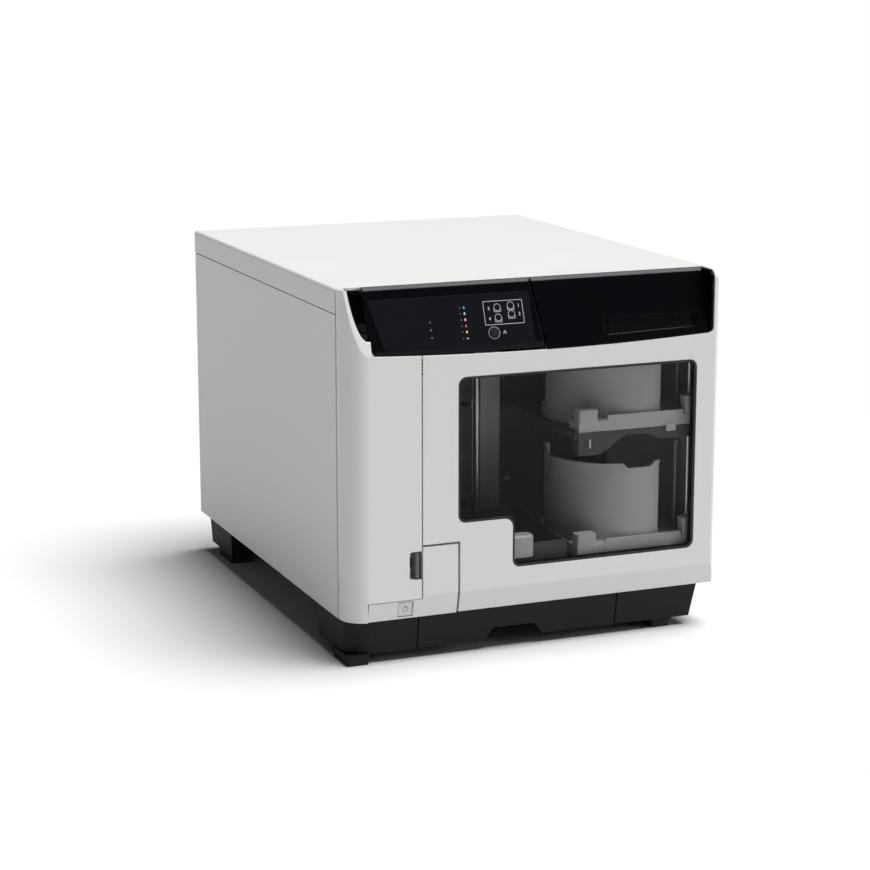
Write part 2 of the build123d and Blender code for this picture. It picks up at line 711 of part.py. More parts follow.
# The control panel is fixed. A tongue along its top seats under the top cover.
with BuildPart() as control_panel:
    extrude(strip_profile(panel_left_x), amount=body_width / 2)
    extrude(corner_area(0, skin + slip, far), amount=far, mode=Mode.INTERSECT)
    extrude(above_smile(-far, far, -seam / 2), amount=far, mode=Mode.INTERSECT)
    extrude(split_side(-split_gap / 2, far), amount=far, mode=Mode.SUBTRACT)
    block(panel_left_x + return_depth, split_top_x - return_depth, cover_back_y - strip_wall,
          casing_front_y + 2 * return_depth, body_height - shell - strip_wall, body_height - shell)
    with BuildSketch(lean_plane):
        with Locations((panel_button_x, panel_button_s)):
            Circle(panel_button_radius + slip)
    extrude(amount=-2 * strip_wall, mode=Mode.SUBTRACT)
control_panel.part.label = "control_panel"
export_step(control_panel.part, "parts/control_panel.step")

# A thin matt overlay lies on the leaning face.
with BuildPart() as control_overlay:
    with BuildSketch(lean_plane) as overlay_sketch:
        Polygon(*overlay_corners, align=None)
        fillet(overlay_sketch.vertices(), overlay_corner_radius)
        with Locations((panel_button_x, panel_button_s)):
            Circle(panel_button_radius + slip, mode=Mode.SUBTRACT)
    extrude(amount=overlay_thickness)
control_overlay.part.label = "control_overlay"
export_step(control_overlay.part, "parts/control_overlay.step")

# The round button, with a collar behind the panel's wall.
with BuildPart() as panel_button:
    with BuildSketch(lean_plane.offset(overlay_thickness + button_proud)):
        with Locations((panel_button_x, panel_button_s)):
            Circle(panel_button_radius)
    extrude(amount=-panel_button_length)
    with BuildSketch(lean_plane.offset(-strip_wall - slip)):
        with Locations((panel_button_x, panel_button_s)):
            Circle(panel_button_radius + collar)
    extrude(amount=-collar)
panel_button.part.label = "panel_button"
export_step(panel_button.part, "parts/panel_button.step")

# ================================================================ disc cover
slot_left_x = half_width - 118.0
slot_right_x = half_width - 19.1
slot_corners = (
    (slot_left_x, 25.8),
    (slot_right_x, 25.8),
    (slot_right_x - 6.1, 13.2),
    (slot_left_x, 10.8),
)


def window_outline(y, grow):
    """Front view of the window: a rectangle less its lower left corner, grown on all sides."""
    with BuildSketch(front_plane(y)) as outline:
        Polygon(
            (window_left_x - grow, window_top_z + grow),
            (window_right_x + grow, window_top_z + grow),
            (window_right_x + grow, window_bottom_z - grow),
            (window_step_x - grow, window_bottom_z - grow),
            (window_step_x - grow, window_step_z - grow),
            (window_left_x - grow, window_step_z - grow),
            align=None,
        )
        fillet(outline.vertices(), window_corner)
    return outline.sketch


# The frame is one moulding: the white skin, the full depth cheek at the hinge and inward ribs.
with BuildPart() as disc_cover_frame:
    with BuildSketch(side_plane(cheek_inner_x)) as cheek:
        with BuildLine():
            Polyline((front_y + cheek_top_radius, body_height), (cover_back_y, body_height),
                     (cover_back_y, cover_bottom_z), (chin_face_y(cover_bottom_z), cover_bottom_z),
                     (front_y, crease_z), (front_y, body_height - cheek_top_radius))
            RadiusArc((front_y, body_height - cheek_top_radius), (front_y + cheek_top_radius, body_height),
                      cheek_top_radius)
        make_face()
    extrude(amount=hinge_boss)
    extrude(skin_profile(disc_left_x, cover_bottom_z, smile_end_z + 2 * smile_corner), amount=cheek_inner_x - disc_left_x)
    outer_edges = disc_cover_frame.edges().filter_by_position(Axis.X, half_width - 0.01, half_width + 0.01)
    fillet([edge for edge in outer_edges if edge.center().Y < front_y + chin_setback
            and edge.center().Z < body_height - cheek_top_radius and edge.length > chin_height],
           right_corner_radius)
    extrude(above_smile(-far, cheek_inner_x, 0), amount=far, mode=Mode.SUBTRACT)
    rib_back_y = front_y + return_depth
    notch_x = riser_right_x + riser_gap
    notch_z = riser_top_z + riser_gap
    block(disc_left_x, disc_left_x + rib, front_y + skin / 2, rib_back_y, notch_z, smile_low_z - skin)
    block(disc_left_x, notch_x + rib, front_y + skin / 2, rib_back_y, notch_z, notch_z + rib)
    block(notch_x, notch_x + rib, front_y + skin / 2, rib_back_y, crease_z, notch_z + rib)
    block(notch_x, cheek_inner_x + rib, chin_face_y(cover_bottom_z) + skin / 2, rib_back_y,
          cover_bottom_z, cover_bottom_z + rib)
    block(-far, notch_x, -far, far, 0, notch_z, mode=Mode.SUBTRACT)
    extrude(window_outline(0, 0), amount=far, mode=Mode.SUBTRACT)
    block(disc_hinge_x, far, hinge_y, far, 0, far, mode=Mode.SUBTRACT)
    upright(disc_hinge_x, hinge_y, cover_bottom_z, body_height, hinge_inset)
    for knuckle_z in (low_knuckle_z, high_knuckle_z):
        slot_half = knuckle_height / 2 + knuckle_end_gap
        upright(disc_hinge_x, hinge_y, knuckle_z - slot_half, knuckle_z + slot_half,
                hinge_inset + knuckle_slot_play, mode=Mode.SUBTRACT)
        upright(disc_hinge_x, hinge_y, knuckle_z - 2 * knuckle_height, knuckle_z + 2 * knuckle_height,
                hinge_pin_radius + hinge_play, mode=Mode.SUBTRACT)
disc_cover_frame.part.label = "disc_cover_frame"
export_step(disc_cover_frame.part, "parts/disc_cover_frame.step")

# The smoked window fills the opening from behind, with a flange on the skin's inner face.
with BuildPart() as disc_cover_window:
    extrude(window_outline(front_y + skin, -slip), amount=skin - window_recess)
    extrude(window_outline(front_y + skin + window_sheet, window_flange), amount=window_sheet)
disc_cover_window.part.label = "disc_cover_window"
export_step(disc_cover_window.part, "parts/disc_cover_window.step")

# The right fascia continues the leaning strip. It has a slot, an end wall along the cheek and a
# flange that seats behind the white skin.
fascia_right_x = cheek_inner_x - slip
with BuildPart() as disc_cover_fascia:
    extrude(strip_profile(split_top_x - return_depth), amount=fascia_right_x - split_top_x + return_depth)
    with BuildSketch(side_plane(fascia_right_x - end_wall)):
        with BuildLine():
            wall_front_y = front_y + end_wall_setback
            wall_top_z = body_height - end_wall_setback
            Polyline((wall_front_y + cheek_top_radius, wall_top_z), (cover_back_y, wall_top_z),
                     (cover_back_y, lean_foot_z), (wall_front_y, lean_foot_z),
                     (wall_front_y, wall_top_z - cheek_top_radius))
            RadiusArc((wall_front_y, wall_top_z - cheek_top_radius),
                      (wall_front_y + cheek_top_radius, wall_top_z), cheek_top_radius)
        make_face()
    extrude(amount=end_wall)
    extrude(above_smile(-far, far, -slip), amount=far, mode=Mode.INTERSECT)
    extrude(split_side(split_gap / 2, -far), amount=far, mode=Mode.SUBTRACT)
    block(split_foot_x + 2 * split_gap, cheek_inner_x - 2 * smile_corner, front_y + skin,
          front_y + skin + strip_wall, smile_low_z - 4 * strip_wall, smile_low_z + 2 * strip_wall)
    with BuildSketch(lean_plane) as slot_sketch:
        Polygon(*slot_corners, align=None)
        fillet(slot_sketch.vertices(), 1.0)
    extrude(amount=-strip_wall, mode=Mode.SUBTRACT)
disc_cover_fascia.part.label = "disc_cover_fascia"
export_step(disc_cover_fascia.part, "parts/disc_cover_fascia.step")

# A smoked lens closes the slot from behind.
lens_margin = 3.0
lens_thickness = 2.0
with BuildPart() as fascia_lens:
    with BuildSketch(lean_plane.offset(-strip_wall)):
        Polygon(*slot_corners, align=None)
        offset(amount=lens_margin, kind=Kind.INTERSECTION)
    extrude(amount=-lens_thickness)
fascia_lens.part.label = "fascia_lens"
export_step(fascia_lens.part, "parts/fascia_lens.step")

# ================================================================ stackers
def ring_sector(z, inner_radius, outer_radius, start, end):
    """Plan of part of a ring about the stackers' axis, between two angles."""
    centre = (stack_x, stack_y)
    with BuildSketch(level(z)) as sector:
        with BuildLine():
            outer = CenterArc(centre, outer_radius, start, end - start)
            inner = CenterArc(centre, inner_radius, start, end - start)
            Line(outer @ 0, inner @ 0)
            Line(outer @ 1, inner @ 1)
        make_face()
    return sector.sketch


wall_inner_radius = stacker_radius - stacker_wall
tongue_left_x = stacker_left_x
tongue_right_x = stacker_left_x + stacker_tongue_width
lip_height = 4.5
lip_wall = 2.5
lip_left_x = tongue_left_x + 30.0
lip_right_x = tongue_right_x - 14.0
corner_block_width = 20.0
corner_block_depth = 13.0
corner_block_height = 21.0
end_block_width = 12.0
end_block_height = 27.0
tab_width = 10.0
tab_drop = 5.0
tab_x = tongue_right_x - 33.0
tab_wall = 2.0
spindle_hole_radius = 9.0

# Two equal stackers, one above the other. Each is a round cup with a hand slot at the right, a
# stepped rim, a thumb dip at the front and a straight fronted base with lip and corner blocks.
for name, base_z in (("stacker_upper", upper_stacker_z), ("stacker_lower", lower_stacker_z)):
    floor_z = base_z + stacker_base
    front_rim_z = base_z + stacker_front_height
    back_rim_z = base_z + stacker_back_height
    with BuildPart() as stacker:
        with BuildSketch(level(base_z)) as base_plan:
            with Locations((stack_x, stack_y)):
                Circle(stacker_radius + disc_play / 2)
            with Locations(((tongue_left_x + tongue_right_x) / 2,
                            stacker_front_y + (stacker_tongue_back + stacker_front_reach) / 2)):
                Rectangle(stacker_tongue_width, stacker_tongue_back + stacker_front_reach)
            with Locations((stack_x, stack_y)):
                Circle(spindle_hole_radius, mode=Mode.SUBTRACT)
        extrude(amount=stacker_base)
        extrude(ring_sector(floor_z, wall_inner_radius, stacker_radius, rim_step_angle,
                            hand_slot_from + 360), amount=front_rim_z - floor_z)
        for start, end in ((hand_slot_to, arm_slot_from), (arm_slot_to, rim_step_angle)):
            extrude(ring_sector(floor_z, wall_inner_radius, stacker_radius, start, end),
                    amount=back_rim_z - floor_z)
            extrude(ring_sector(back_rim_z - stacker_bead_height, wall_inner_radius,
                                stacker_radius + stacker_bead, start, end),
                    amount=stacker_bead_height)
        extrude(ring_sector(front_rim_z - stacker_bead_height, wall_inner_radius,
                            stacker_radius + stacker_bead, rim_step_angle, hand_slot_from + 360),
                amount=stacker_bead_height)
        with BuildSketch(front_plane(stack_y)):
            with Locations((stack_x, front_rim_z)):
                Polygon((-thumb_dip_width / 2, 1), (-thumb_dip_width / 3, -thumb_dip_depth),
                        (thumb_dip_width / 3, -thumb_dip_depth), (thumb_dip_width / 2, 1), align=None)
        extrude(amount=far, mode=Mode.SUBTRACT)
        block(lip_left_x, lip_right_x, stacker_front_y, stacker_front_y + lip_wall,
              floor_z - 1, floor_z + lip_height)
        with BuildSketch(level(base_z)):
            with Locations((tongue_left_x + corner_block_width / 2,
                            stacker_front_y + corner_block_depth / 2)):
                RectangleRounded(corner_block_width, corner_block_depth, 2.5)
        extrude(amount=corner_block_height)
        with BuildSketch(level(base_z)):
            with Locations((tongue_right_x - end_block_width / 2,
                            stacker_front_y + corner_block_depth / 2)):
                RectangleRounded(end_block_width, corner_block_depth, 2.5)
        extrude(amount=end_block_height)
        upright(stack_x, stack_y, floor_z, back_rim_z + 1, wall_inner_radius, mode=Mode.SUBTRACT)
        block(tab_x, tab_x + tab_width, stacker_front_y - tab_wall, stacker_front_y,
              base_z - tab_drop, base_z + tab_wall)
    stacker.part.label = name
    export_step(stacker.part, f"parts/{name}.step")

# The shelf under the upper stacker: a plate with an arched front wall and a label block. It seats
# on the bulkhead and the right side panel, and the corner post passes through it.
post_x = side_inner_x - post_side_gap
shelf_left_x = column_left_x + column_width + 2.5
shelf_front_y = stacker_front_y + slip
apron_wall = 4.0
label_depth = 1.5
arch_left_x = tongue_left_x + shelf_label_width
arch_top = 5.0
arch_step = 12.0
shelf_bottom_z = upper_stacker_z - shelf_front_height
flange_gap = 1.5            # inner plates to the side panel's front flange
shelf_right_x = half_width - panel_flange - flange_gap
with BuildPart() as stacker_shelf:
    block(shelf_left_x, shelf_right_x, shelf_front_y, bulkhead_y,
          upper_stacker_z - shelf_plate, upper_stacker_z)
    block(shelf_right_x, side_inner_x, floor_front_y + flange_gap, bulkhead_y,
          upper_stacker_z - shelf_plate, upper_stacker_z)
    with BuildSketch(front_plane(shelf_front_y + apron_wall)) as apron:
        with BuildLine():
            Polyline((arch_left_x, upper_stacker_z), (arch_left_x, shelf_bottom_z + 2),
                     (arch_left_x + 6, shelf_bottom_z + 4))
            Spline((arch_left_x + 6, shelf_bottom_z + 4), (arch_left_x + 28, upper_stacker_z - arch_top),
                   (arch_left_x + 48, upper_stacker_z - arch_top - 1),
                   (arch_left_x + 62, upper_stacker_z - arch_step),
                   tangents=((1, 0.6), (1, -0.3)))
            Polyline((arch_left_x + 62, upper_stacker_z - arch_step),
                     (tongue_right_x, upper_stacker_z - arch_step - 1), (tongue_right_x, upper_stacker_z),
                     (arch_left_x, upper_stacker_z))
        make_face()
    extrude(amount=apron_wall)
    block(tongue_left_x - 1, arch_left_x, shelf_front_y - label_depth, shelf_front_y + 3 * apron_wall,
          shelf_bottom_z, upper_stacker_z)
    upright(post_x, post_front_y, 0, body_height, post_radius + bearing_play, mode=Mode.SUBTRACT)
stacker_shelf.part.label = "stacker_shelf"
export_step(stacker_shelf.part, "parts/stacker_shelf.step")

# The pedestal under the lower stacker is a bent plate with two legs.
pedestal_left_x = tongue_left_x + 11.0
pedestal_right_x = shelf_right_x - 4.0
pedestal_wall = 3.0
with BuildPart() as stacker_pedestal:
    with BuildSketch(front_plane(bulkhead_y)):
        Polygon(
            (pedestal_left_x, floor_top_z),
            (pedestal_left_x, lower_stacker_z),
            (pedestal_right_x, lower_stacker_z),
            (pedestal_right_x, floor_top_z),
            (pedestal_right_x - pedestal_wall, floor_top_z),
            (pedestal_right_x - pedestal_wall, lower_stacker_z - pedestal_wall),
            (pedestal_left_x + pedestal_wall, lower_stacker_z - pedestal_wall),
            (pedestal_left_x + pedestal_wall, floor_top_z),
            align=None,
        )
    extrude(amount=bulkhead_y - floor_front_y - flange_gap)
stacker_pedestal.part.label = "stacker_pedestal"
export_step(stacker_pedestal.part, "parts/stacker_pedestal.step")

# An upright post at the front right corner stands on the floor.
with BuildPart() as corner_post:
    upright(post_x, post_front_y, floor_top_z, panel_top_z, post_radius)
corner_post.part.label = "corner_post"
export_step(corner_post.part, "parts/corner_post.step")

# The dark bulkhead closes the stackers' bay at the back.
with BuildPart() as bulkhead:
    block(shelf_left_x, side_inner_x, bulkhead_y, bulkhead_y + bulkhead_wall, floor_top_z, panel_top_z)
bulkhead.part.label = "bulkhead"
export_step(bulkhead.part, "parts/bulkhead.step")

# The bottom tray takes rejected discs. Its right wall steps round the lower stacker.
tray_left_x = riser_right_x + 6.9
tray_front_edge_y = front_y + 15.5
tray_back_edge_y = drive_front_y - 7.0
tray_rim_z = floor_top_z + 51.65
tray_wall = 2.5
tray_step = 12.0
tray_right_x = tongue_left_x - 9.0
with BuildPart() as reject_tray:
    with BuildSketch(level(floor_top_z)) as tray_plan:
        Polygon(
            (tray_left_x, tray_front_edge_y),
            (tray_right_x, tray_front_edge_y),
            (tray_right_x, tray_front_edge_y + 45),
            (tray_right_x + tray_step, tray_back_edge_y - 31),
            (tray_right_x + tray_step, tray_back_edge_y),
            (tray_left_x, tray_back_edge_y),
            align=None,
        )
    extrude(amount=tray_rim_z - floor_top_z)
    with BuildSketch(level(floor_top_z + tray_wall)):
        add(tray_plan.sketch.moved(Location((0, 0, tray_wall))))
        offset(amount=-tray_wall, kind=Kind.INTERSECTION)
    extrude(amount=tray_rim_z, mode=Mode.SUBTRACT)
reject_tray.part.label = "reject_tray"
export_step(reject_tray.part, "parts/reject_tray.step")

# Its handle sits astride the front wall.
handle_right_x = tray_left_x + 75.0
handle_width = 74.0
handle_depth = 16.0
handle_height = 10.0
handle_skirt = 11.0
handle_chamfer = 1.8
with BuildPart() as reject_tray_handle:
    handle_x = handle_right_x - handle_width / 2
    handle_front_y = tray_front_edge_y - handle_depth / 2
    with BuildSketch(level(tray_rim_z)) as handle_plan:
        with Locations((handle_x, tray_front_edge_y)):
            RectangleRounded(handle_width, handle_depth, handle_depth / 2 - 0.5)
    extrude(amount=handle_height)
    with BuildSketch(level(tray_rim_z - handle_skirt)):
        with Locations((handle_x, tray_front_edge_y)):
            RectangleRounded(handle_width, handle_depth, handle_depth / 2 - 0.5)
        with Locations((handle_x, tray_front_edge_y + handle_depth / 2)):
            Rectangle(handle_width, handle_depth, mode=Mode.SUBTRACT)
    extrude(amount=handle_skirt)
    chamfer(reject_tray_handle.faces().sort_by(Axis.Z)[-1].edges(), handle_chamfer)
reject_tray_handle.part.label = "reject_tray_handle"
export_step(reject_tray_handle.part, "parts/reject_tray_handle.step")

# ================================================================ lift column, carriage and arm
foot_sheet = 4.0
journal_radius = 2.0
journal_length = 3.0
head_plate = 4.0
column_right_x = column_left_x + column_width
shaft_seat_x0 = shaft_x - 12.0
shaft_top_z = column_top_z - head_plate

# The foot is a bridge over the motor, with a leg at each side.
with BuildPart() as column_foot:
    with BuildSketch(front_plane(column_web_y + column_flange)):
        Polygon(
            (shaft_seat_x0 - 12, floor_top_z),
            (shaft_seat_x0 - 12, column_foot_z),
            (column_right_x, column_foot_z),
            (column_right_x, floor_top_z),
            (column_right_x - foot_sheet, floor_top_z),
            (column_right_x - foot_sheet, column_foot_z - foot_sheet),
            (shaft_seat_x0 - 12 + foot_sheet, column_foot_z - foot_sheet),
            (shaft_seat_x0 - 12 + foot_sheet, floor_top_z),
            align=None,
        )
    extrude(amount=column_web_y + column_flange - shaft_y + 3 * shaft_radius - 1)
    upright(shaft_x, screw_y, 0, body_height, journal_radius + bearing_play, mode=Mode.SUBTRACT)
column_foot.part.label = "column_foot"
export_step(column_foot.part, "parts/column_foot.step")

with BuildPart() as lift_column:
    with BuildSketch(level(column_foot_z)):
        Polygon(
            (column_left_x, column_web_y),
            (column_right_x, column_web_y),
            (column_right_x, column_web_y + column_flange),
            (column_right_x - column_sheet, column_web_y + column_flange),
            (column_right_x - column_sheet, column_web_y + column_sheet),
            (column_left_x + column_sheet, column_web_y + column_sheet),
            (column_left_x + column_sheet, column_web_y + column_flange),
            (column_left_x, column_web_y + column_flange),
            align=None,
        )
    extrude(amount=shaft_top_z - column_foot_z)
lift_column.part.label = "lift_column"
export_step(lift_column.part, "parts/lift_column.step")

with BuildPart() as column_head:
    block(shaft_seat_x0 + 4, column_right_x, shaft_y - shaft_radius - 3, column_web_y + column_flange,
          shaft_top_z, column_top_z)
    upright(shaft_x, screw_y, 0, body_height, journal_radius + bearing_play, mode=Mode.SUBTRACT)
column_head.part.label = "column_head"
export_step(column_head.part, "parts/column_head.step")

with BuildPart() as guide_shaft:
    upright(shaft_x, shaft_y, column_foot_z, shaft_top_z, shaft_radius)
guide_shaft.part.label = "guide_shaft"
export_step(guide_shaft.part, "parts/guide_shaft.step")

# The lead screw turns between the foot and the head on two journals.
screw_end_gap = 0.5
screw_tail = 10.0
with BuildPart() as lead_screw:
    upright(shaft_x, screw_y, column_foot_z + screw_end_gap, shaft_top_z - screw_end_gap, screw_radius)
    upright(shaft_x, screw_y, column_foot_z - screw_tail, shaft_top_z + journal_length, journal_radius)
lead_screw.part.label = "lead_screw"
export_step(lead_screw.part, "parts/lead_screw.step")

# The stepper motor stands under the foot, below the screw.
motor_size = 32.0
motor_offset = 7.0
with BuildPart() as lift_motor:
    with BuildSketch(level(floor_top_z)) as motor_plan:
        with Locations((shaft_x, screw_y - motor_offset)):
            Rectangle(motor_size, motor_size)
        chamfer(motor_plan.vertices(), 3)
    extrude(amount=column_foot_z - foot_sheet - floor_top_z)
    upright(shaft_x, screw_y, column_foot_z - screw_tail - 1, body_height,
            journal_radius + bearing_play, mode=Mode.SUBTRACT)
lift_motor.part.label = "lift_motor"
export_step(lift_motor.part, "parts/lift_motor.step")

# The carriage slides on the shaft and holds the arm's pivot pin.
carriage_top_z = carriage_bottom_z + carriage_height
carriage_deck = 12.0
pin_flange = 2.5
arm_bottom_z = carriage_bottom_z + pin_flange + slip
arm_top_z = carriage_top_z - carriage_deck - slip
carriage_left_x = 2.5
carriage_back_y = screw_y + screw_radius + 3.0
carriage_mid_x = column_left_x - seam
with BuildPart() as lift_carriage:
    with BuildSketch(level(carriage_bottom_z)):
        Polygon(
            (carriage_left_x, carriage_back_y),
            (carriage_left_x, shaft_y - shaft_radius - 4),
            (carriage_mid_x, shaft_y - shaft_radius - 4),
            (carriage_mid_x, carriage_back_y),
            align=None,
        )
    extrude(amount=carriage_height)
    with BuildSketch(level(carriage_top_z - carriage_deck)):
        Polygon(
            (carriage_left_x, shaft_y),
            (carriage_left_x, shaft_y - 14),
            (pivot_x - arm_hub_radius, pivot_y - arm_hub_radius),
            (pivot_x + arm_hub_radius, pivot_y - arm_hub_radius),
            (pivot_x + arm_hub_radius, pivot_y + arm_hub_radius),
            (carriage_mid_x, shaft_y + 6),
            (carriage_mid_x, shaft_y),
            align=None,
        )
    extrude(amount=carriage_deck)
    upright(pivot_x, pivot_y, carriage_bottom_z, carriage_top_z, arm_pin_radius)
    upright(pivot_x, pivot_y, carriage_bottom_z, carriage_bottom_z + pin_flange, arm_pin_radius + 2.5)
    upright(shaft_x, shaft_y, 0, body_height, shaft_radius + bearing_play, mode=Mode.SUBTRACT)
    upright(shaft_x, screw_y, 0, body_height, screw_radius + bearing_play, mode=Mode.SUBTRACT)
lift_carriage.part.label = "lift_carriage"
export_step(lift_carriage.part, "parts/lift_carriage.step")

# The arm tapers from its hub to the gripper, whose three fingers enter a disc's hole.
finger_circle = 6.4
finger_radius = 1.0
plunger_radius = 2.5
disc_hole_radius = 7.5
with BuildPart() as lift_arm:
    with BuildSketch(level(arm_bottom_z)):
        with BuildSketch(mode=Mode.ADD):
            with Locations((pivot_x, pivot_y)):
                Circle(arm_hub_radius - 1)
            with Locations((drive_x, tray_disc_y)):
                Circle(arm_end_radius)
        make_hull()
        with Locations((pivot_x, pivot_y)):
            Circle(arm_pin_radius + bearing_play, mode=Mode.SUBTRACT)
    extrude(amount=arm_top_z - arm_bottom_z)
    upright(drive_x, tray_disc_y, arm_bottom_z - gripper_drop, arm_bottom_z + 1, disc_hole_radius - 0.8)
    upright(drive_x, tray_disc_y, 0, body_height, plunger_radius + bearing_play, mode=Mode.SUBTRACT)
    with Locations((drive_x, tray_disc_y, arm_bottom_z - gripper_drop - 1)):
        with PolarLocations(finger_circle - finger_radius, 3):
            Cylinder(finger_radius, 2 * finger_radius + 2)
lift_arm.part.label = "lift_arm"
export_step(lift_arm.part, "parts/lift_arm.step")

# The plunger runs through the arm's end and spreads the fingers when it moves down.
plunger_travel = 2.0
with BuildPart() as gripper_plunger:
    upright(drive_x, tray_disc_y, arm_bottom_z - gripper_drop, arm_top_z + plunger_travel + 3, plunger_radius)
    upright(drive_x, tray_disc_y, arm_top_z + plunger_travel + 0.5, arm_top_z + plunger_travel + 4,
            plunger_radius + 2)
gripper_plunger.part.label = "gripper_plunger"
export_step(gripper_plunger.part, "parts/gripper_plunger.step")

# ================================================================ disc drives and label printer
cage_leg_front_y = drive_front_y + 53.0    # the legs leave room for the lift motor
cage_left_x = drive_left_x - cage_sheet
cage_right_x = drive_right_x + cage_sheet
cage_back_y = drive_front_y + drive_depth
cage_top_z = upper_drive_z + drive_height
printer_top_z = printer_bottom_z + printer_height

# A folded cage carries the printer and both drives.
with BuildPart() as drive_cage:
    with BuildSketch(front_plane(cage_back_y)):
        Polygon(
            (cage_left_x, floor_top_z),
            (cage_left_x, cage_top_z),
            (drive_left_x, cage_top_z),
            (drive_left_x, printer_bottom_z),
            (drive_right_x, printer_bottom_z),
            (drive_right_x, cage_top_z),
            (cage_right_x, cage_top_z),
            (cage_right_x, floor_top_z),
            (drive_right_x, floor_top_z),
            (drive_right_x, printer_bottom_z - cage_sheet),
            (drive_left_x, printer_bottom_z - cage_sheet),
            (drive_left_x, floor_top_z),
            align=None,
        )
    extrude(amount=drive_depth - rib)
    block(-far, far, -far, cage_leg_front_y, 0, printer_bottom_z - cage_sheet, mode=Mode.SUBTRACT)
drive_cage.part.label = "drive_cage"
export_step(drive_cage.part, "parts/drive_cage.step")

drive_tray_rise = 22.0
drive_tray_depth = drive_depth - 20.0
flap_height = 13.0
flap_wall = 2.0
disc_well_depth = 2.0
slot_back_wall = 8.0


def disc_tray(z, depth):
    """A disc tray at the height z: plate, round disc well, spindle opening and front flap."""
    with BuildPart() as tray:
        block(drive_x - tray_width / 2, drive_x + tray_width / 2, drive_front_y, drive_front_y + depth,
              z, z + tray_thickness)
        block(drive_x - tray_width / 2, drive_x + tray_width / 2, tray_front_y, drive_front_y,
              z - (flap_height - tray_thickness) / 2, z + (flap_height + tray_thickness) / 2)
        upright(drive_x, disc_rest_y, z + tray_thickness - disc_well_depth, body_height,
                disc_diameter / 2 + 0.7, mode=Mode.SUBTRACT)
        with BuildSketch(level(z)):
            with Locations((drive_x, disc_rest_y)):
                SlotCenterToCenter(50, 34, rotation=90)
        extrude(amount=tray_thickness, mode=Mode.SUBTRACT)
    return tray


# Each drive is a metal case with a slot for its tray.
for number, drive_z in ((1, upper_drive_z), (2, lower_drive_z)):
    tray_z = drive_z + drive_tray_rise
    with BuildPart() as drive:
        block(drive_left_x, drive_right_x, drive_front_y, drive_front_y + drive_depth,
              drive_z, drive_z + drive_height)
        block(drive_x - tray_width / 2 - tray_play, drive_x + tray_width / 2 + tray_play,
              drive_front_y, drive_front_y + drive_depth - slot_back_wall,
              tray_z - tray_play, tray_z + tray_thickness + 2 * tray_play, mode=Mode.SUBTRACT)
    drive.part.label = f"disc_drive_{number}"
    export_step(drive.part, f"parts/disc_drive_{number}.step")
    tray = disc_tray(tray_z, drive_tray_depth)
    tray.part.label = f"drive_tray_{number}"
    export_step(tray.part, f"parts/drive_tray_{number}.step")

# The printer is an open topped housing. Its disc tray runs through a slot under the print head.
print_tray_z = printer_bottom_z + printer_tray_rise
head_z = print_tray_z + tray_thickness + 12.0
head_rod_y = -30.0
head_rod_z = head_z + 14.0
head_height = 30.0
head_depth = 36.0
with BuildPart() as printer_housing:
    block(drive_left_x, drive_right_x, drive_front_y, cage_back_y, printer_bottom_z, printer_top_z)
    block(drive_left_x + printer_wall, drive_right_x - printer_wall, drive_front_y + printer_wall,
          cage_back_y - printer_wall, print_tray_z - 3 * tray_play, printer_top_z, mode=Mode.SUBTRACT)
    block(drive_x - tray_width / 2 - tray_play, drive_x + tray_width / 2 + tray_play,
          drive_front_y - 1, drive_front_y + printer_wall + 1,
          print_tray_z - tray_play, print_tray_z + tray_thickness + 2 * tray_play, mode=Mode.SUBTRACT)
printer_housing.part.label = "printer_housing"
export_step(printer_housing.part, "parts/printer_housing.step")

printer_tray = disc_tray(print_tray_z, drive_tray_depth)
printer_tray.part.label = "printer_tray"
export_step(printer_tray.part, "parts/printer_tray.step")

# The print head rides on a rod between the housing's side walls.
with BuildPart() as head_rod:
    with BuildSketch(side_plane(drive_left_x + printer_wall)):
        with Locations((head_rod_y, head_rod_z)):
            Circle(head_rod_radius)
    extrude(amount=drive_width - 2 * printer_wall)
head_rod.part.label = "head_rod"
export_step(head_rod.part, "parts/head_rod.step")

with BuildPart() as print_head:
    with BuildSketch(side_plane(drive_x - head_width / 2)):
        with Locations((head_rod_y, head_z + head_height / 2)):
            Rectangle(head_depth, head_height)
        with Locations((head_rod_y, head_rod_z)):
            Circle(head_rod_radius + bearing_play, mode=Mode.SUBTRACT)
    extrude(amount=head_width)
    block(drive_x - head_width / 2 + 4, drive_x + head_width / 2 - 4, head_rod_y - head_depth / 2 + 4,
          head_rod_y + head_depth / 2 - 4, head_z - 4, head_z)
print_head.part.label = "print_head"
export_step(print_head.part, "parts/print_head.step")

# ================================================================ ink bay
ink_bay_left_x = -side_inner_x
ink_bay_back_y = ink_bay_front_y + ink_bay_depth
ink_bay_top_z = ink_bay_bottom_z + ink_slots * ink_pitch + ink_bay_wall

# An open fronted rack with one slot for each cartridge, on legs.
with BuildPart() as ink_bay:
    block(ink_bay_left_x, ink_bay_right_x, ink_bay_front_y, ink_bay_back_y, floor_top_z, ink_bay_top_z)
    for slot in range(ink_slots):
        slot_z = ink_bay_bottom_z + ink_bay_wall + slot * ink_pitch
        block(ink_bay_left_x + ink_bay_wall, ink_bay_right_x - ink_bay_wall, ink_bay_front_y - 1,
              ink_bay_back_y - ink_bay_wall, slot_z, slot_z + ink_pitch - ink_bay_wall,
              mode=Mode.SUBTRACT)
    block(ink_bay_left_x + ink_bay_wall, ink_bay_right_x - ink_bay_wall, ink_bay_front_y - 1,
          ink_bay_back_y - ink_bay_wall, floor_top_z - 1, ink_bay_bottom_z, mode=Mode.SUBTRACT)
ink_bay.part.label = "ink_bay"
export_step(ink_bay.part, "parts/ink_bay.step")

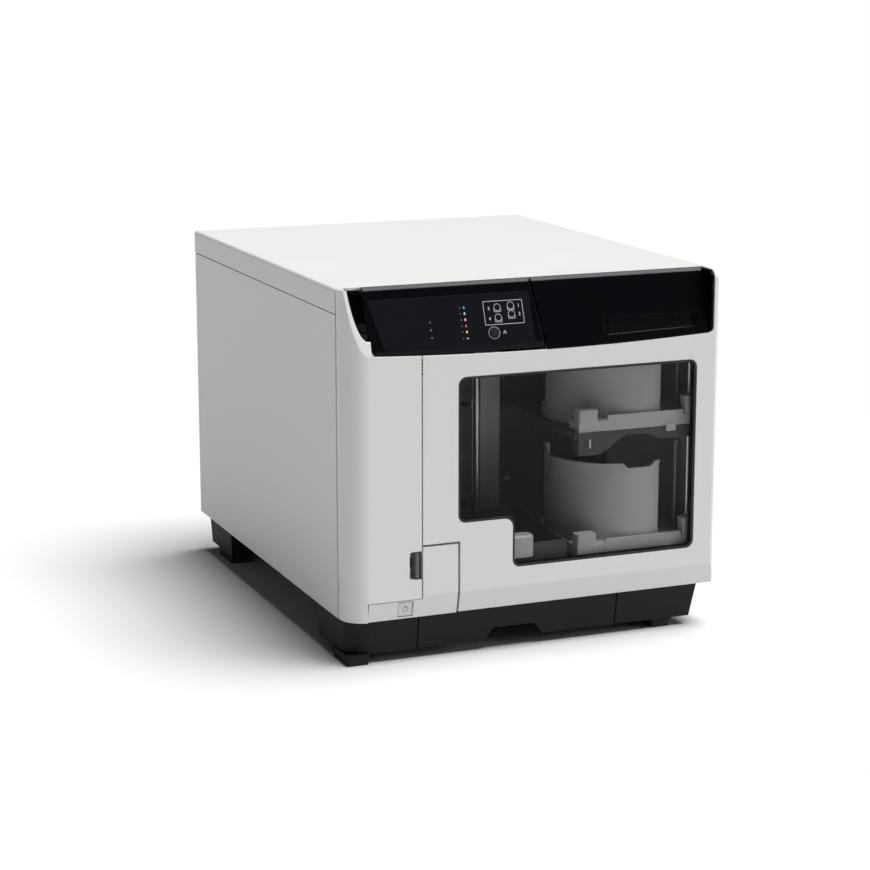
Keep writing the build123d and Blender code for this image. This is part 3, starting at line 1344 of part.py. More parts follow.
# Six equal cartridges, each with a pull ledge at the front.
ledge_depth = 5.0
for slot in range(ink_slots):
    slot_z = ink_bay_bottom_z + ink_bay_wall + slot * ink_pitch
    with BuildPart() as cartridge:
        with BuildSketch(side_plane(ink_bay_left_x + ink_bay_wall + cartridge_gap)):
            Polygon(
                (ink_bay_front_y, slot_z),
                (ink_bay_front_y, slot_z + 9),
                (ink_bay_front_y + ledge_depth, slot_z + 11),
                (ink_bay_front_y + ledge_depth, slot_z + ink_pitch - ink_bay_wall - cartridge_gap),
                (ink_bay_back_y - ink_bay_wall - cartridge_gap,
                 slot_z + ink_pitch - ink_bay_wall - cartridge_gap),
                (ink_bay_back_y - ink_bay_wall - cartridge_gap, slot_z),
                align=None,
            )
        extrude(amount=ink_bay_right_x - ink_bay_left_x - 2 * ink_bay_wall - 2 * cartridge_gap)
    cartridge.part.label = f"ink_cartridge_{slot + 1}"
    export_step(cartridge.part, f"parts/ink_cartridge_{slot + 1}.step")

# ================================================================ rear electrics
supply_width = 86.0
supply_height = 64.0
supply_depth = 140.0
supply_right_gap = 40.0     # supply to the right side panel
supply_rear_gap = 30.0      # supply to the rear panel, for the fan
board_width = 200.0
board_depth = 129.0
spacer_inset = 10.0
spacer_radius = 3.0
usb_depth = 17.2
usb_wall = 2.0
chip_size = 28.0
chip_height = 3.0
board_left_x = -half_width + 38.5
board_back_y = rear_inner_y - 1.0
board_front_y = board_back_y - board_depth
chip_places = [board_left_x + spacer_inset + column * 2 * chip_size for column in range(3)]
supply_left_x = side_inner_x - supply_right_gap - supply_width
supply_back_y = rear_inner_y - supply_rear_gap
with BuildPart() as power_supply:
    block(supply_left_x, supply_left_x + supply_width, supply_back_y - supply_depth, supply_back_y,
          floor_top_z, floor_top_z + supply_height)
power_supply.part.label = "power_supply"
export_step(power_supply.part, "parts/power_supply.step")

# The main board lies on four spacers. Its data socket looks out of the rear panel.
with BuildPart() as main_board:
    block(board_left_x, board_left_x + board_width, board_front_y, board_back_y, board_z,
          board_z + board_thickness)
    with Locations((board_left_x + board_width / 2, (board_front_y + board_back_y) / 2,
                    (floor_top_z + board_z) / 2)):
        with GridLocations(board_width - 2 * spacer_inset, board_back_y - board_front_y - 2 * spacer_inset,
                           2, 2):
            Cylinder(spacer_radius, board_z - floor_top_z)
    socket_z = board_z + board_thickness
    block(usb_x - usb_width / 2, usb_x + usb_width / 2, rear_face_y - usb_depth, rear_face_y - slip,
          socket_z, socket_z + usb_height)
    block(usb_x - usb_width / 2 + usb_wall, usb_x + usb_width / 2 - usb_wall,
          rear_face_y - usb_depth + usb_wall, rear_y, socket_z + usb_wall, socket_z + usb_height - usb_wall,
          mode=Mode.SUBTRACT)
    for chip_x in chip_places:
        block(chip_x, chip_x + chip_size, board_front_y + chip_size, board_front_y + 2 * chip_size,
              socket_z, socket_z + chip_height)
main_board.part.label = "main_board"
export_step(main_board.part, "parts/main_board.step")

# The fan's frame is bolted to the rear panel. A hub in the frame carries the rotor's shaft.
fan_depth = 25.0
hub_radius = 16.0
fan_shaft_radius = 2.5
blade_count = 7
blade_twist = 22.0
blade_width = 7.0
tip_gap = 1.2
strut_width = 4.0
strut_depth = 3.0
with BuildPart() as fan_frame:
    with BuildSketch(front_plane(rear_inner_y)):
        with Locations((fan_x, fan_z)):
            RectangleRounded(fan_size, fan_size, strut_width)
            Circle(fan_opening_radius, mode=Mode.SUBTRACT)
    extrude(amount=fan_depth)
    with BuildSketch(front_plane(rear_inner_y - fan_depth + strut_depth)):
        with Locations((fan_x, fan_z)):
            Circle(hub_radius)
            Rectangle(strut_width, fan_size - strut_width)
            Rectangle(fan_size - strut_width, strut_width)
    extrude(amount=strut_depth)
    with BuildSketch(front_plane(rear_inner_y - strut_depth)):
        with Locations((fan_x, fan_z)):
            Circle(fan_shaft_radius)
    extrude(amount=fan_depth - 2 * strut_depth)
fan_frame.part.label = "fan_frame"
export_step(fan_frame.part, "parts/fan_frame.step")

with BuildPart() as fan_rotor:
    with BuildSketch(front_plane(rear_inner_y - strut_depth)):
        with Locations((fan_x, fan_z)):
            Circle(hub_radius)
            with PolarLocations((hub_radius + fan_opening_radius - tip_gap) / 2, blade_count):
                Rectangle(fan_opening_radius - hub_radius, blade_width, rotation=blade_twist)
            Circle(fan_opening_radius - tip_gap, mode=Mode.INTERSECT)
    extrude(amount=fan_depth - 3 * strut_depth)
    with BuildSketch(front_plane(rear_inner_y)):
        with Locations((fan_x, fan_z)):
            Circle(fan_shaft_radius + bearing_play)
    extrude(amount=fan_depth, mode=Mode.SUBTRACT)
fan_rotor.part.label = "fan_rotor"
export_step(fan_rotor.part, "parts/fan_rotor.step")

# The mains inlet: a socket with three flat pins.
inlet_depth = 22.0
socket_depth = 16.0
inlet_wall = 2.5
pin_pitch = 7.0
pin_drop = 1.5
pin_rise = 2.5
pin_half_width = 1.0
pin_setback = 6.0
with BuildPart() as mains_inlet:
    with BuildSketch(front_plane(rear_face_y)):
        with Locations((inlet_x, inlet_z)):
            Rectangle(inlet_width - 2 * slip, inlet_height - 2 * slip)
    extrude(amount=inlet_depth)
    with BuildSketch(front_plane(rear_face_y)):
        with Locations((inlet_x, inlet_z)):
            Rectangle(inlet_width - 2 * inlet_wall, inlet_height - 2 * inlet_wall)
    extrude(amount=socket_depth, mode=Mode.SUBTRACT)
    for pin_x, pin_z in ((-pin_pitch, -pin_drop), (0, pin_rise), (pin_pitch, -pin_drop)):
        block(inlet_x + pin_x - pin_half_width, inlet_x + pin_x + pin_half_width,
              rear_face_y - socket_depth, rear_face_y - pin_setback,
              inlet_z + pin_z - 2 * pin_half_width, inlet_z + pin_z + 2 * pin_half_width)
mains_inlet.part.label = "mains_inlet"
export_step(mains_inlet.part, "parts/mains_inlet.step")
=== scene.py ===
import math

import bmesh
import bpy
from mathutils import Matrix, Vector


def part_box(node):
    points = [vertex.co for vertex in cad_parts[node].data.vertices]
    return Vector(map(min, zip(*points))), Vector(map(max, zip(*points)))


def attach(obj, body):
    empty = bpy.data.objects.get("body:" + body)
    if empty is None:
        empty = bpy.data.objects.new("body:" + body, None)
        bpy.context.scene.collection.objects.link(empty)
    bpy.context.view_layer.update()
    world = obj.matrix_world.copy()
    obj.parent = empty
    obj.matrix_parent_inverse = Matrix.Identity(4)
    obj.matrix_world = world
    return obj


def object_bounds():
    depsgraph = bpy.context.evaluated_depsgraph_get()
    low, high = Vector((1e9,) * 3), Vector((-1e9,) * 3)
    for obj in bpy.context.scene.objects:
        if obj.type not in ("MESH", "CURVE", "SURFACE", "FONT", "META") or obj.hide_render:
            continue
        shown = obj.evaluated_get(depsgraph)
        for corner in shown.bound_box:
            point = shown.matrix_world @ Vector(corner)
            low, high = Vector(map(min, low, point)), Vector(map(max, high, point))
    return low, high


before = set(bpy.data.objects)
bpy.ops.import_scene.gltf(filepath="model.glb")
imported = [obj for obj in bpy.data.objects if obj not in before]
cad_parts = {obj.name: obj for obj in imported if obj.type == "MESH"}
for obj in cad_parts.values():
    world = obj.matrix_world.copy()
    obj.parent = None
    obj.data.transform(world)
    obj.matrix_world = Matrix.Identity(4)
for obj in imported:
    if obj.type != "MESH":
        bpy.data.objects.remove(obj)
cad_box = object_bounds()

# ---------------------------------------------------------------------------------------------
# Casing: top cover, side panels and rear panel, folded from steel sheet and powder coated white.
# The coat has a very fine orange peel and a satin sheen; folds and cut edges are softly rounded.


def srgb(code):
    """Linear colour of a hex code."""
    parts = [int(code[i:i + 2], 16) / 255 for i in (1, 3, 5)]
    return tuple(c / 12.92 if c <= 0.04045 else ((c + 0.055) / 1.055) ** 2.4 for c in parts) + (1.0,)


def add_node(tree, kind, inputs=None, **settings):
    """Adds a node with its settings, and sets or links its inputs."""
    made = tree.nodes.new(kind)
    for key, value in settings.items():
        setattr(made, key, value)
    for key, value in (inputs or {}).items():
        if isinstance(value, bpy.types.NodeSocket):
            tree.links.new(value, made.inputs[key])
        else:
            made.inputs[key].default_value = value
    return made


def start_material(name):
    """An empty material: its tree, its object coordinates and its shader."""
    material = bpy.data.materials.new(name)
    material.use_nodes = True
    tree = material.node_tree
    tree.nodes.clear()
    place = add_node(tree, "ShaderNodeTexCoord").outputs["Object"]
    shader = add_node(tree, "ShaderNodeBsdfPrincipled")
    out = add_node(tree, "ShaderNodeOutputMaterial")
    tree.links.new(shader.outputs["BSDF"], out.inputs["Surface"])
    return material, tree, place, shader


def finish(name, tone, grain_mm, relief, rough, spread=0.03, shade=0.04, edge_mm=0.5, metallic=0.0,
           ior=1.5, specular=0.5, stretch=(1, 1, 1)):
    """An opaque surface: a grain of a real width, and edges rounded to a radius. Its gloss wanders by
    spread and its tone by shade, and stretch draws the grain out along an axis."""
    patches_per_metre = 9.0
    grain_height = 0.0001
    material, tree, place, shader = start_material(name)
    slow = add_node(tree, "ShaderNodeTexNoise", {"Vector": place, "Scale": patches_per_metre, "Detail": 3.0})
    low, high = (tuple(min(1.0, c * k) for c in srgb(tone)[:3]) + (1.0,) for k in (1 - shade, 1 + shade))
    tint = add_node(tree, "ShaderNodeMix", {0: slow.outputs["Fac"], 6: low, 7: high}, data_type="RGBA")
    gloss = add_node(tree, "ShaderNodeMapRange",
                     {"Value": slow.outputs["Fac"], "To Min": rough - spread, "To Max": rough + spread})
    scaled = add_node(tree, "ShaderNodeMapping", {"Vector": place, "Scale": stretch})
    grain = add_node(tree, "ShaderNodeTexNoise",
                     {"Vector": scaled.outputs["Vector"], "Scale": 1000.0 / grain_mm, "Detail": 2.0})
    edge = add_node(tree, "ShaderNodeBevel", {"Radius": edge_mm / 1000.0}, samples=4)
    bump = add_node(tree, "ShaderNodeBump", {"Height": grain.outputs["Fac"], "Distance": grain_height,
                                             "Strength": relief, "Normal": edge.outputs["Normal"]})
    for key, value in (("Base Color", tint.outputs[2]), ("Roughness", gloss.outputs[0]),
                       ("Normal", bump.outputs["Normal"])):
        tree.links.new(value, shader.inputs[key])
    shader.inputs["Metallic"].default_value = metallic
    if not metallic:
        shader.inputs["IOR"].default_value = ior
        shader.inputs["Specular IOR Level"].default_value = specular
    return material


def dress(material, *names):
    """Gives CAD nodes their material."""
    for name in names:
        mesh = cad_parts[name].data
        mesh.materials.clear()
        mesh.materials.append(material)


# Powder coat: the peel is drawn 1.4 mm wide, coarser than life, so that it shows.
powder_coat = finish("powder_coated_steel", "#d3d3d1", 1.4, 0.25, 0.42, shade=0.012, edge_mm=0.8)
dress(powder_coat, "top_cover", "side_panel_left", "side_panel_right", "rear_panel")

# ---------------------------------------------------------------------------------------------
# Plinth: four mouldings in black ABS with a spark eroded grain, on soft rubber feet.
# The grain scatters light, so the black reads as a dark grey on faces turned up.
black_abs = finish("grained_black_abs", "#151716", 0.6, 0.7, 0.6, spread=0.05, shade=0.08, edge_mm=0.7,
                   specular=0.2)
dress(black_abs, "front_plinth_left", "front_plinth_centre", "front_plinth_right", "rear_plinth")
foot_rubber = finish("foot_rubber", "#141414", 0.8, 0.8, 0.8, spread=0.06, shade=0.1, edge_mm=0.6, ior=1.52)
dress(foot_rubber, "rubber_feet")

# ---------------------------------------------------------------------------------------------
# Front covers and lower front frame: injection moulded ABS in the casing's white. The mould was
# finely eroded, which gives a soft even sheen, a little warmer and glossier than the coated steel.
white_abs = finish("fine_grained_white_abs", "#d8d8d6", 0.5, 0.35, 0.38, shade=0.01, edge_mm=0.7)
dress(white_abs, "disc_cover_frame", "ink_cover", "front_lower_frame")

# ---------------------------------------------------------------------------------------------
# Latch and power button: small satin ABS mouldings, grey and white, that slide in the white covers.
# The covers turn on ground steel pins, which are bright with a fine grain.
latch_abs = finish("grey_latch_abs", "#5c5e60", 0.4, 0.4, 0.4)
dress(latch_abs, "ink_cover_latch")
button_abs = finish("white_button_abs", "#cfcfcd", 0.4, 0.3, 0.35, shade=0.01)
dress(button_abs, "power_button")
hinge_steel = finish("ground_hinge_steel", "#a6a6a4", 0.3, 0.2, 0.25, metallic=1.0, edge_mm=0.2)
dress(hinge_steel, "hinge_pins")

# ---------------------------------------------------------------------------------------------
# Control strip: the fixed panel and the right fascia are moulded in black ABS with a smooth skin.
# A soft sheen runs over it, and the rounded upper edge catches a thin line of light.
piano_black = finish("polished_black_abs", "#08080c", 6.0, 0.08, 0.20, shade=0.1, edge_mm=1.8,
                     specular=0.12)
dress(piano_black, "control_panel", "disc_cover_fascia")

# The overlay is a polyester film with a fine matt print, glued on the leaning face.
overlay_film = finish("matt_polyester_film", "#0b0c13", 0.35, 0.35, 0.42, shade=0.05, edge_mm=0.3,
                      specular=0.10)
dress(overlay_film, "control_overlay")
dress(black_abs, "panel_button")

# ---------------------------------------------------------------------------------------------
# Printed signs on the overlay: lamp lenses, ink drops, a small map of the stackers and an arrow.
# All are screen printed inks on the film, or tinted lenses flush with it. Their places are in mm:
# x across the machine, and s up the leaning face from its foot.
lean = math.radians(20.3)
lean_foot = Vector((0, -0.2323, 0.2835))
lean_up = Vector((0, math.sin(lean), math.cos(lean)))
lean_out = Vector((0, -math.cos(lean), math.sin(lean)))
film_height = 0.00056
ink_depth = 0.00006


def on_strip(x_mm, s_mm):
    """Matrix that lays a flat shape, drawn in its own XY, on the film of the leaning face."""
    origin = lean_foot + Vector((x_mm / 1000, 0, 0)) + lean_up * (s_mm / 1000) + lean_out * film_height
    turn = Matrix((Vector((1, 0, 0)), lean_up, lean_out)).transposed().to_4x4()
    return Matrix.Translation(origin) @ turn


def thicken(bm, step=(0, 0, ink_depth)):
    """Gives flat faces a thin body along a step."""
    made = bmesh.ops.extrude_face_region(bm, geom=bm.faces[:])
    verts = [part for part in made["geom"] if isinstance(part, bmesh.types.BMVert)]
    bmesh.ops.translate(bm, verts=verts, vec=step)


def new_object(bm, name, material):
    """Makes an object of a bmesh and gives it its material."""
    mesh = bpy.data.meshes.new(name)
    bm.to_mesh(mesh)
    bm.free()
    mesh.materials.append(material)
    made = bpy.data.objects.new(name, mesh)
    bpy.context.collection.objects.link(made)
    return made


def settle(bm, name, material, body):
    """Makes a finished piece of a bmesh, riding on its body."""
    bmesh.ops.recalc_face_normals(bm, faces=bm.faces[:])
    piece = new_object(bm, name, material)
    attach(piece, body)


def ink(name, tone, rough=0.5, glow=0.0):
    """Screen printing ink or a tinted lens, with a slightly uneven film."""
    material = finish(name, tone, 0.3, 0.2, rough, shade=0.03, edge_mm=0.1)
    shader = next(n for n in material.node_tree.nodes if n.type == "BSDF_PRINCIPLED")
    shader.inputs["Emission Color"].default_value = srgb(tone)
    shader.inputs["Emission Strength"].default_value = glow
    return material


def disc(bm, x, y, radius, sides=24):
    """A filled circle in XY, in mm. Gives its face."""
    made = bmesh.ops.create_circle(bm, cap_ends=True, segments=sides, radius=radius / 1000,
                                   matrix=Matrix.Translation((x / 1000, y / 1000, 0)))
    return made["verts"][0].link_faces[0]


def ring(bm, x, y, radius, width, sides=32):
    """A flat ring in XY, in mm."""
    face = disc(bm, x, y, radius, sides)
    bmesh.ops.inset_region(bm, faces=[face], thickness=width / 1000, use_boundary=True)
    bmesh.ops.delete(bm, geom=[face], context="FACES")


def bar(bm, x0, y0, x1, y1, matrix=Matrix()):
    """A filled rectangle in XY, in mm. Gives its corners."""
    at = Matrix.Translation(((x0 + x1) / 2000, (y0 + y1) / 2000, 0))
    size = Matrix.Diagonal(((x1 - x0) / 1000, (y1 - y0) / 1000, 1, 1))
    made = bmesh.ops.create_grid(bm, x_segments=1, y_segments=1, size=0.5, matrix=matrix @ at @ size)
    return made["verts"]


def open_frame(bm, x0, y0, x1, y1, line, lap=0.0):
    """Four bars round a rectangle in XY, in mm. The uprights lap over the level bars by lap."""
    bar(bm, x0, y0, x1, y0 + line)
    bar(bm, x0, y1 - line, x1, y1)
    bar(bm, x0, y0 + line - lap, x0 + line, y1 - line + lap)
    bar(bm, x1 - line, y0 + line - lap, x1, y1 - line + lap)


def drop(bm, x, y, radius):
    """An ink drop in XY, in mm: a circle whose upper half is drawn out and pinched to a tip."""
    drawn_out, pinch = 1.9, 0.55
    for vert in disc(bm, x, y, radius, sides=16).verts:
        up = vert.co.y - y / 1000
        if up > 0:
            vert.co.y = y / 1000 + up * drawn_out
            vert.co.x = x / 1000 + (vert.co.x - x / 1000) * (1 - pinch * up / (radius / 1000))


def place_print(bm, name, material, matrix, body="chassis"):
    """Gives a print its thin body and lays it on its surface."""
    thicken(bm)
    bmesh.ops.transform(bm, matrix=matrix, verts=bm.verts[:])
    settle(bm, name, material, body)


status_x, ink_lamp_x, ink_mark_x = -103.5, -72.9, -68.8
status_rows = (32.9, 25.8, 18.8)
ink_rows = (44.6, 39.0, 33.4, 27.6, 22.0, 16.0)
status_lamps = bmesh.new()
for s in status_rows:
    disc(status_lamps, status_x, s, 0.75)
for s in ink_rows:
    disc(status_lamps, ink_lamp_x, s, 0.55)
place_print(status_lamps, "status_lamps", ink("unlit_lamp_lens", "#6f7480", rough=0.25), on_strip(0, 0))

# One drop for each ink, from the top down. The black ink has an open ring, which shows on the film.
ink_tones = (("cyan", "#2f9fd0"), ("light_cyan", "#8cc8e6"), ("light_magenta", "#e0a6bd"),
             ("magenta", "#c2427f"), ("yellow", "#d9c741"), ("black", "#d0d0d0"))
for (tone_name, tone), s in zip(ink_tones, ink_rows):
    mark = bmesh.new()
    if tone_name == "black":
        ring(mark, ink_mark_x, s, 1.0, 0.3, sides=16)
    else:
        drop(mark, ink_mark_x, s - 0.3, 0.95)
    place_print(mark, f"ink_mark_{tone_name}", ink(f"{tone_name}_screen_ink", tone), on_strip(0, 0))

# Map of the stackers: an open frame with four small cups, each with a plain number beside it. A
# ring is printed round the button.
white_ink = ink("white_screen_ink", "#c9ccd2")
cup_half, cup_rim, cup_base, cup_line, cup_lap = 3.4, 1.4, 2.9, 0.35, 0.05
sign_map = bmesh.new()
open_frame(sign_map, -49.7, 26.8, -10.5, 49.0, line=0.4, lap=0.4)
for x, s in ((-22.5, 42.5), (-22.5, 34.5), (-36.0, 41.5), (-36.0, 32.0)):
    ring(sign_map, x, s + cup_rim, cup_half, cup_line, sides=24)
    floor_s = s - cup_base + cup_line
    bar(sign_map, x - cup_half, s - cup_base, x + cup_half, floor_s)
    bar(sign_map, x - cup_half, floor_s - cup_lap, x - cup_half + cup_line, s + cup_rim)
    bar(sign_map, x + cup_half - cup_line, floor_s - cup_lap, x + cup_half, s + cup_rim)
ring(sign_map, -42.0, 19.5, 5.6, 0.3, sides=40)
place_print(sign_map, "stacker_map", white_ink, on_strip(0, 0))


def numeral(text, name, height_mm, matrix, bold_mm=0.0):
    """A plain printed numeral. Its strokes are widened by bold_mm."""
    curve = bpy.data.curves.new(name, "FONT")
    curve.body = text
    curve.size = height_mm / 1000
    curve.align_x = "CENTER"
    curve.align_y = "CENTER"
    curve.extrude = ink_depth / 2
    curve.offset = bold_mm / 1000
    holder = bpy.data.objects.new(name + "_line", curve)
    bpy.context.collection.objects.link(holder)
    bpy.context.view_layer.update()
    mesh = bpy.data.meshes.new_from_object(holder)
    bpy.data.objects.remove(holder)
    bm = bmesh.new()
    bm.from_mesh(mesh)
    bmesh.ops.remove_doubles(bm, verts=bm.verts[:], dist=0.00001)
    bmesh.ops.transform(bm, matrix=matrix, verts=bm.verts[:])
    settle(bm, name, white_ink, "chassis")


for number, (x, s) in enumerate(((-14.5, 43.5), (-14.5, 35.5), (-44.5, 42.0), (-44.5, 32.5)), start=1):
    numeral(str(number), f"map_number_{number}", 4.4, on_strip(x, s))

arrow = bmesh.new()
ring(arrow, 0, 0, 2.0, 0.7, sides=3)
place_print(arrow, "button_arrow", white_ink, on_strip(-31.5, 19.5))

# ---------------------------------------------------------------------------------------------
# End cheek of the strip: a moulded black filler between the leaning panel and the lip of the ink
# cover. It closes the corner, and stays on the machine when the cover swings open. Sizes in mm.
front_y = -232.5
lip_foot_z, lip_top_z, lip_back = 288.6, 348.0, 13.0
lip_gap, lip_stop_y = 0.7, -221.8
corner_x, corner_y, corner_radius = -166.0, -210.0, 18.9
panel_end_x, panel_top_z = -180.55, 344.8
post_x, post_y = -181.0, -206.1
boss_x, boss_y = -184.4, -213.0


def extruded(bm, face):
    """Extrudes a face and gives the new one, ready to be moved."""
    made = bmesh.ops.extrude_face_region(bm, geom=[face])
    return next(part for part in made["geom"] if isinstance(part, bmesh.types.BMFace))


def grown(bm, rings):
    """One closed body through rings of points, in metres. Each ring is the last one extruded, and
    only the two end faces stay."""
    faces = [bm.faces.new([bm.verts.new(point) for point in rings[0]])]
    for points in rings[1:]:
        faces.append(extruded(bm, faces[-1]))
        for vert, point in zip(faces[-1].verts, points):
            vert.co = point
    bmesh.ops.delete(bm, geom=faces[1:-1], context="FACES_ONLY")


def cheek_ring(height):
    """Plan of the cheek at a height: along the lip's inside, the leaning face and the hinge boss."""
    lip_rise = (height - lip_foot_z) / (lip_top_z - lip_foot_z)
    lip_y = max(front_y + lip_back * lip_rise + lip_gap, lip_stop_y)
    lip_x = corner_x - math.sqrt(corner_radius ** 2 - (lip_y - corner_y) ** 2)
    face_rise = min(height, panel_top_z) - lean_foot.z * 1000
    chamfer = max(0.0, height - panel_top_z)
    face_y = lean_foot.y * 1000 + face_rise * math.tan(lean) + chamfer
    points = [(lip_x, lip_y), (panel_end_x, max(face_y, lip_stop_y + 0.1)), (panel_end_x, post_y),
              (post_x, post_y), (post_x, boss_y), (boss_x, boss_y)]
    return [Vector((x / 1000, y / 1000, height / 1000)) for x, y in points]


cheek_heights = [290.0 + 6.0 * step for step in range(9)] + [panel_top_z, 346.4, 347.8]
strip_cheek = bmesh.new()
grown(strip_cheek, [cheek_ring(height) for height in cheek_heights])
settle(strip_cheek, "strip_cheek", piano_black, "chassis")

# ---------------------------------------------------------------------------------------------
# Window and lens: sheets of smoked acrylic, polished, with a black border printed on the inner
# face of the window. A thin black ring round its outer face is painted shade, for the shadow in
# the gap between pane and frame. The smoke is pale in the window and dark in the lens. Sizes in
# metres.


def smoked_sheet(name, tone, alpha, rough):
    """A clear smoked sheet: a see-through shader with a polished skin and a few faint smears."""
    smears_per_metre = 22.0
    material, tree, place, shader = start_material(name)
    smear = add_node(tree, "ShaderNodeTexNoise", {"Vector": place, "Scale": smears_per_metre, "Detail": 4.0})
    gloss = add_node(tree, "ShaderNodeMapRange",
                     {"Value": smear.outputs["Fac"], "To Min": rough * 0.6, "To Max": rough * 1.6})
    tree.links.new(gloss.outputs[0], shader.inputs["Roughness"])
    shader.inputs["Base Color"].default_value = srgb(tone)
    shader.inputs["Alpha"].default_value = alpha
    shader.inputs["IOR"].default_value = 1.49
    return material


dress(smoked_sheet("smoked_acrylic", "#0c0c0e", 0.15, 0.05), "disc_cover_window")
dress(smoked_sheet("smoked_lens_acrylic", "#0a0a0c", 0.6, 0.08), "fascia_lens")

border_ink = ink("black_border_ink", "#060607", rough=0.3)
left_x, step_x, right_x = -0.0800, -0.0250, 0.1650
low_z, step_z, high_z = 0.0800, 0.1275, 0.2645
window_outline = ((left_x, high_z), (right_x, high_z), (right_x, low_z), (step_x, low_z),
                  (step_x, step_z), (left_x, step_z))
outline_radius = 0.0079
film_gap = 0.00002


def window_rim(name, width, y, depth):
    """A rim inside the window's outline: its width, where it starts and how deep it goes along Y."""
    rim = bmesh.new()
    rim.faces.new([rim.verts.new((x, y, z)) for x, z in window_outline])
    bmesh.ops.bevel(rim, geom=rim.verts[:], offset=outline_radius, segments=8, profile=0.5,
                    affect="VERTICES", material=-1)
    pane = rim.faces[:]
    bmesh.ops.inset_region(rim, faces=pane, thickness=width, use_even_offset=True, use_boundary=True)
    bmesh.ops.delete(rim, geom=pane, context="FACES")
    thicken(rim, (0, depth, 0))
    settle(rim, name, border_ink, "disc_cover")


window_front, window_back = (corner[1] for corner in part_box("disc_cover_window"))
window_rim("window_border", 0.0036, window_back + film_gap, ink_depth)
# Painted shade: a thin black ring in front of the pane's edge stands in for the shadow in the gap to the
# frame.
window_rim("window_shadow_ring", 0.0024, window_front - film_gap, -0.0004)

# ---------------------------------------------------------------------------------------------
# Stackers and shelves: two cups moulded in light grey ABS, on shelves and a tray in dark grey ABS.
# Both have a fine eroded grain and a soft sheen. The wall behind them is steel in a dark satin
# paint, which keeps its highlights dim.
stacker_abs = finish("light_grey_abs", "#b6b8b7", 0.5, 0.4, 0.45, spread=0.04, shade=0.02, edge_mm=0.8)
dress(stacker_abs, "stacker_upper", "stacker_lower", "reject_tray_handle")
shelf_abs = finish("dark_grey_abs", "#3f4244", 0.6, 0.3, 0.5, spread=0.05, shade=0.05, edge_mm=0.7)
dress(shelf_abs, "stacker_shelf", "stacker_pedestal", "reject_tray")
bay_paint = finish("dark_satin_paint", "#2c2d2e", 0.6, 0.12, 0.5, spread=0.05, shade=0.06, edge_mm=0.4)
dress(bay_paint, "bulkhead")


def rounded_plate(bm, width, depth, corner, matrix=Matrix()):
    """A flat plate with rounded corners, centred on its own XY, in mm. Gives its face."""
    corners = bar(bm, -width / 2, -depth / 2, width / 2, depth / 2, matrix)
    made = bmesh.ops.bevel(bm, geom=corners, offset=corner / 1000, segments=4, profile=0.5,
                           affect="VERTICES", material=-1)
    return made["verts"][0].link_faces[0]


# The shelf's label is a dark film plate with a plain number.
upright = Matrix.Rotation(math.pi / 2, 4, "X")
label_x, label_z, label_proud = 0.0580, 0.1885, 0.0001
shelf_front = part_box("stacker_shelf")[0][1]
label_at = Matrix.Translation((label_x, shelf_front - label_proud, label_z)) @ upright
shelf_label = bmesh.new()
rounded_plate(shelf_label, 12.4, 12.4, 1.2)
place_print(shelf_label, "shelf_label", ink("grey_label_film", "#34373b"), label_at)
numeral("1", "shelf_number", 11.5, Matrix.Translation((0, -2 * ink_depth, 0)) @ label_at, bold_mm=0.35)

# ---------------------------------------------------------------------------------------------
# Lift: a painted column on zinc plated brackets, with a ground guide shaft, a lead screw, a motor,
# and the carriage with its arm and gripper, which are glass filled black nylon.
# Zinc plate is bright but cloudy, as the crystals of its plating are.
zinc_plate = finish("zinc_plated_steel", "#9fa2a3", 3.0, 0.15, 0.38, spread=0.08, shade=0.1, edge_mm=0.3,
                    metallic=1.0)
dress(zinc_plate, "column_foot", "column_head", "floor_plate", "drive_cage", "power_supply")
# Ground steel: the grinding marks run along the shaft, so the highlight is a clean upright line.
ground_steel = finish("ground_shaft_steel", "#e2e2e0", 0.5, 0.1, 0.30, spread=0.04, edge_mm=0.2,
                      metallic=1.0, shade=0.03, stretch=(1, 1, 0.05))
dress(ground_steel, "guide_shaft", "lead_screw", "corner_post", "head_rod", "gripper_plunger")
# Enamel on the motor is black and glossy, and the column's paint is light and satin.
motor_paint = finish("black_motor_enamel", "#161617", 1.0, 0.4, 0.35)
dress(motor_paint, "lift_motor")
column_paint = finish("light_grey_column_paint", "#f0f1f1", 0.8, 0.12, 0.4, spread=0.04, shade=0.03,
                      edge_mm=0.4)
dress(column_paint, "lift_column")
# The glass in the nylon makes its skin dull and a little rough.
filled_nylon = finish("glass_filled_black_nylon", "#1d1e20", 0.7, 0.7, 0.5, spread=0.05, shade=0.1,
                      ior=1.53)
dress(filled_nylon, "lift_carriage", "lift_arm")

# ---------------------------------------------------------------------------------------------
# Drives and label printer: sheet steel drive cases in a dark satin paint, which hides the steel's
# shine, with trays and a printer tub moulded in black ABS. The other black mouldings match them.
drive_paint = finish("dark_drive_paint", "#1c1d1f", 0.6, 0.12, 0.45, spread=0.05, shade=0.06, edge_mm=0.4)
dress(drive_paint, "disc_drive_1", "disc_drive_2")
tray_abs = finish("satin_black_abs", "#17181a", 0.5, 0.4, 0.42, spread=0.04, shade=0.08)
dress(tray_abs, "drive_tray_1", "drive_tray_2", "printer_tray", "printer_housing", "print_head", "ink_bay",
      "fan_frame", "fan_rotor", "mains_inlet")

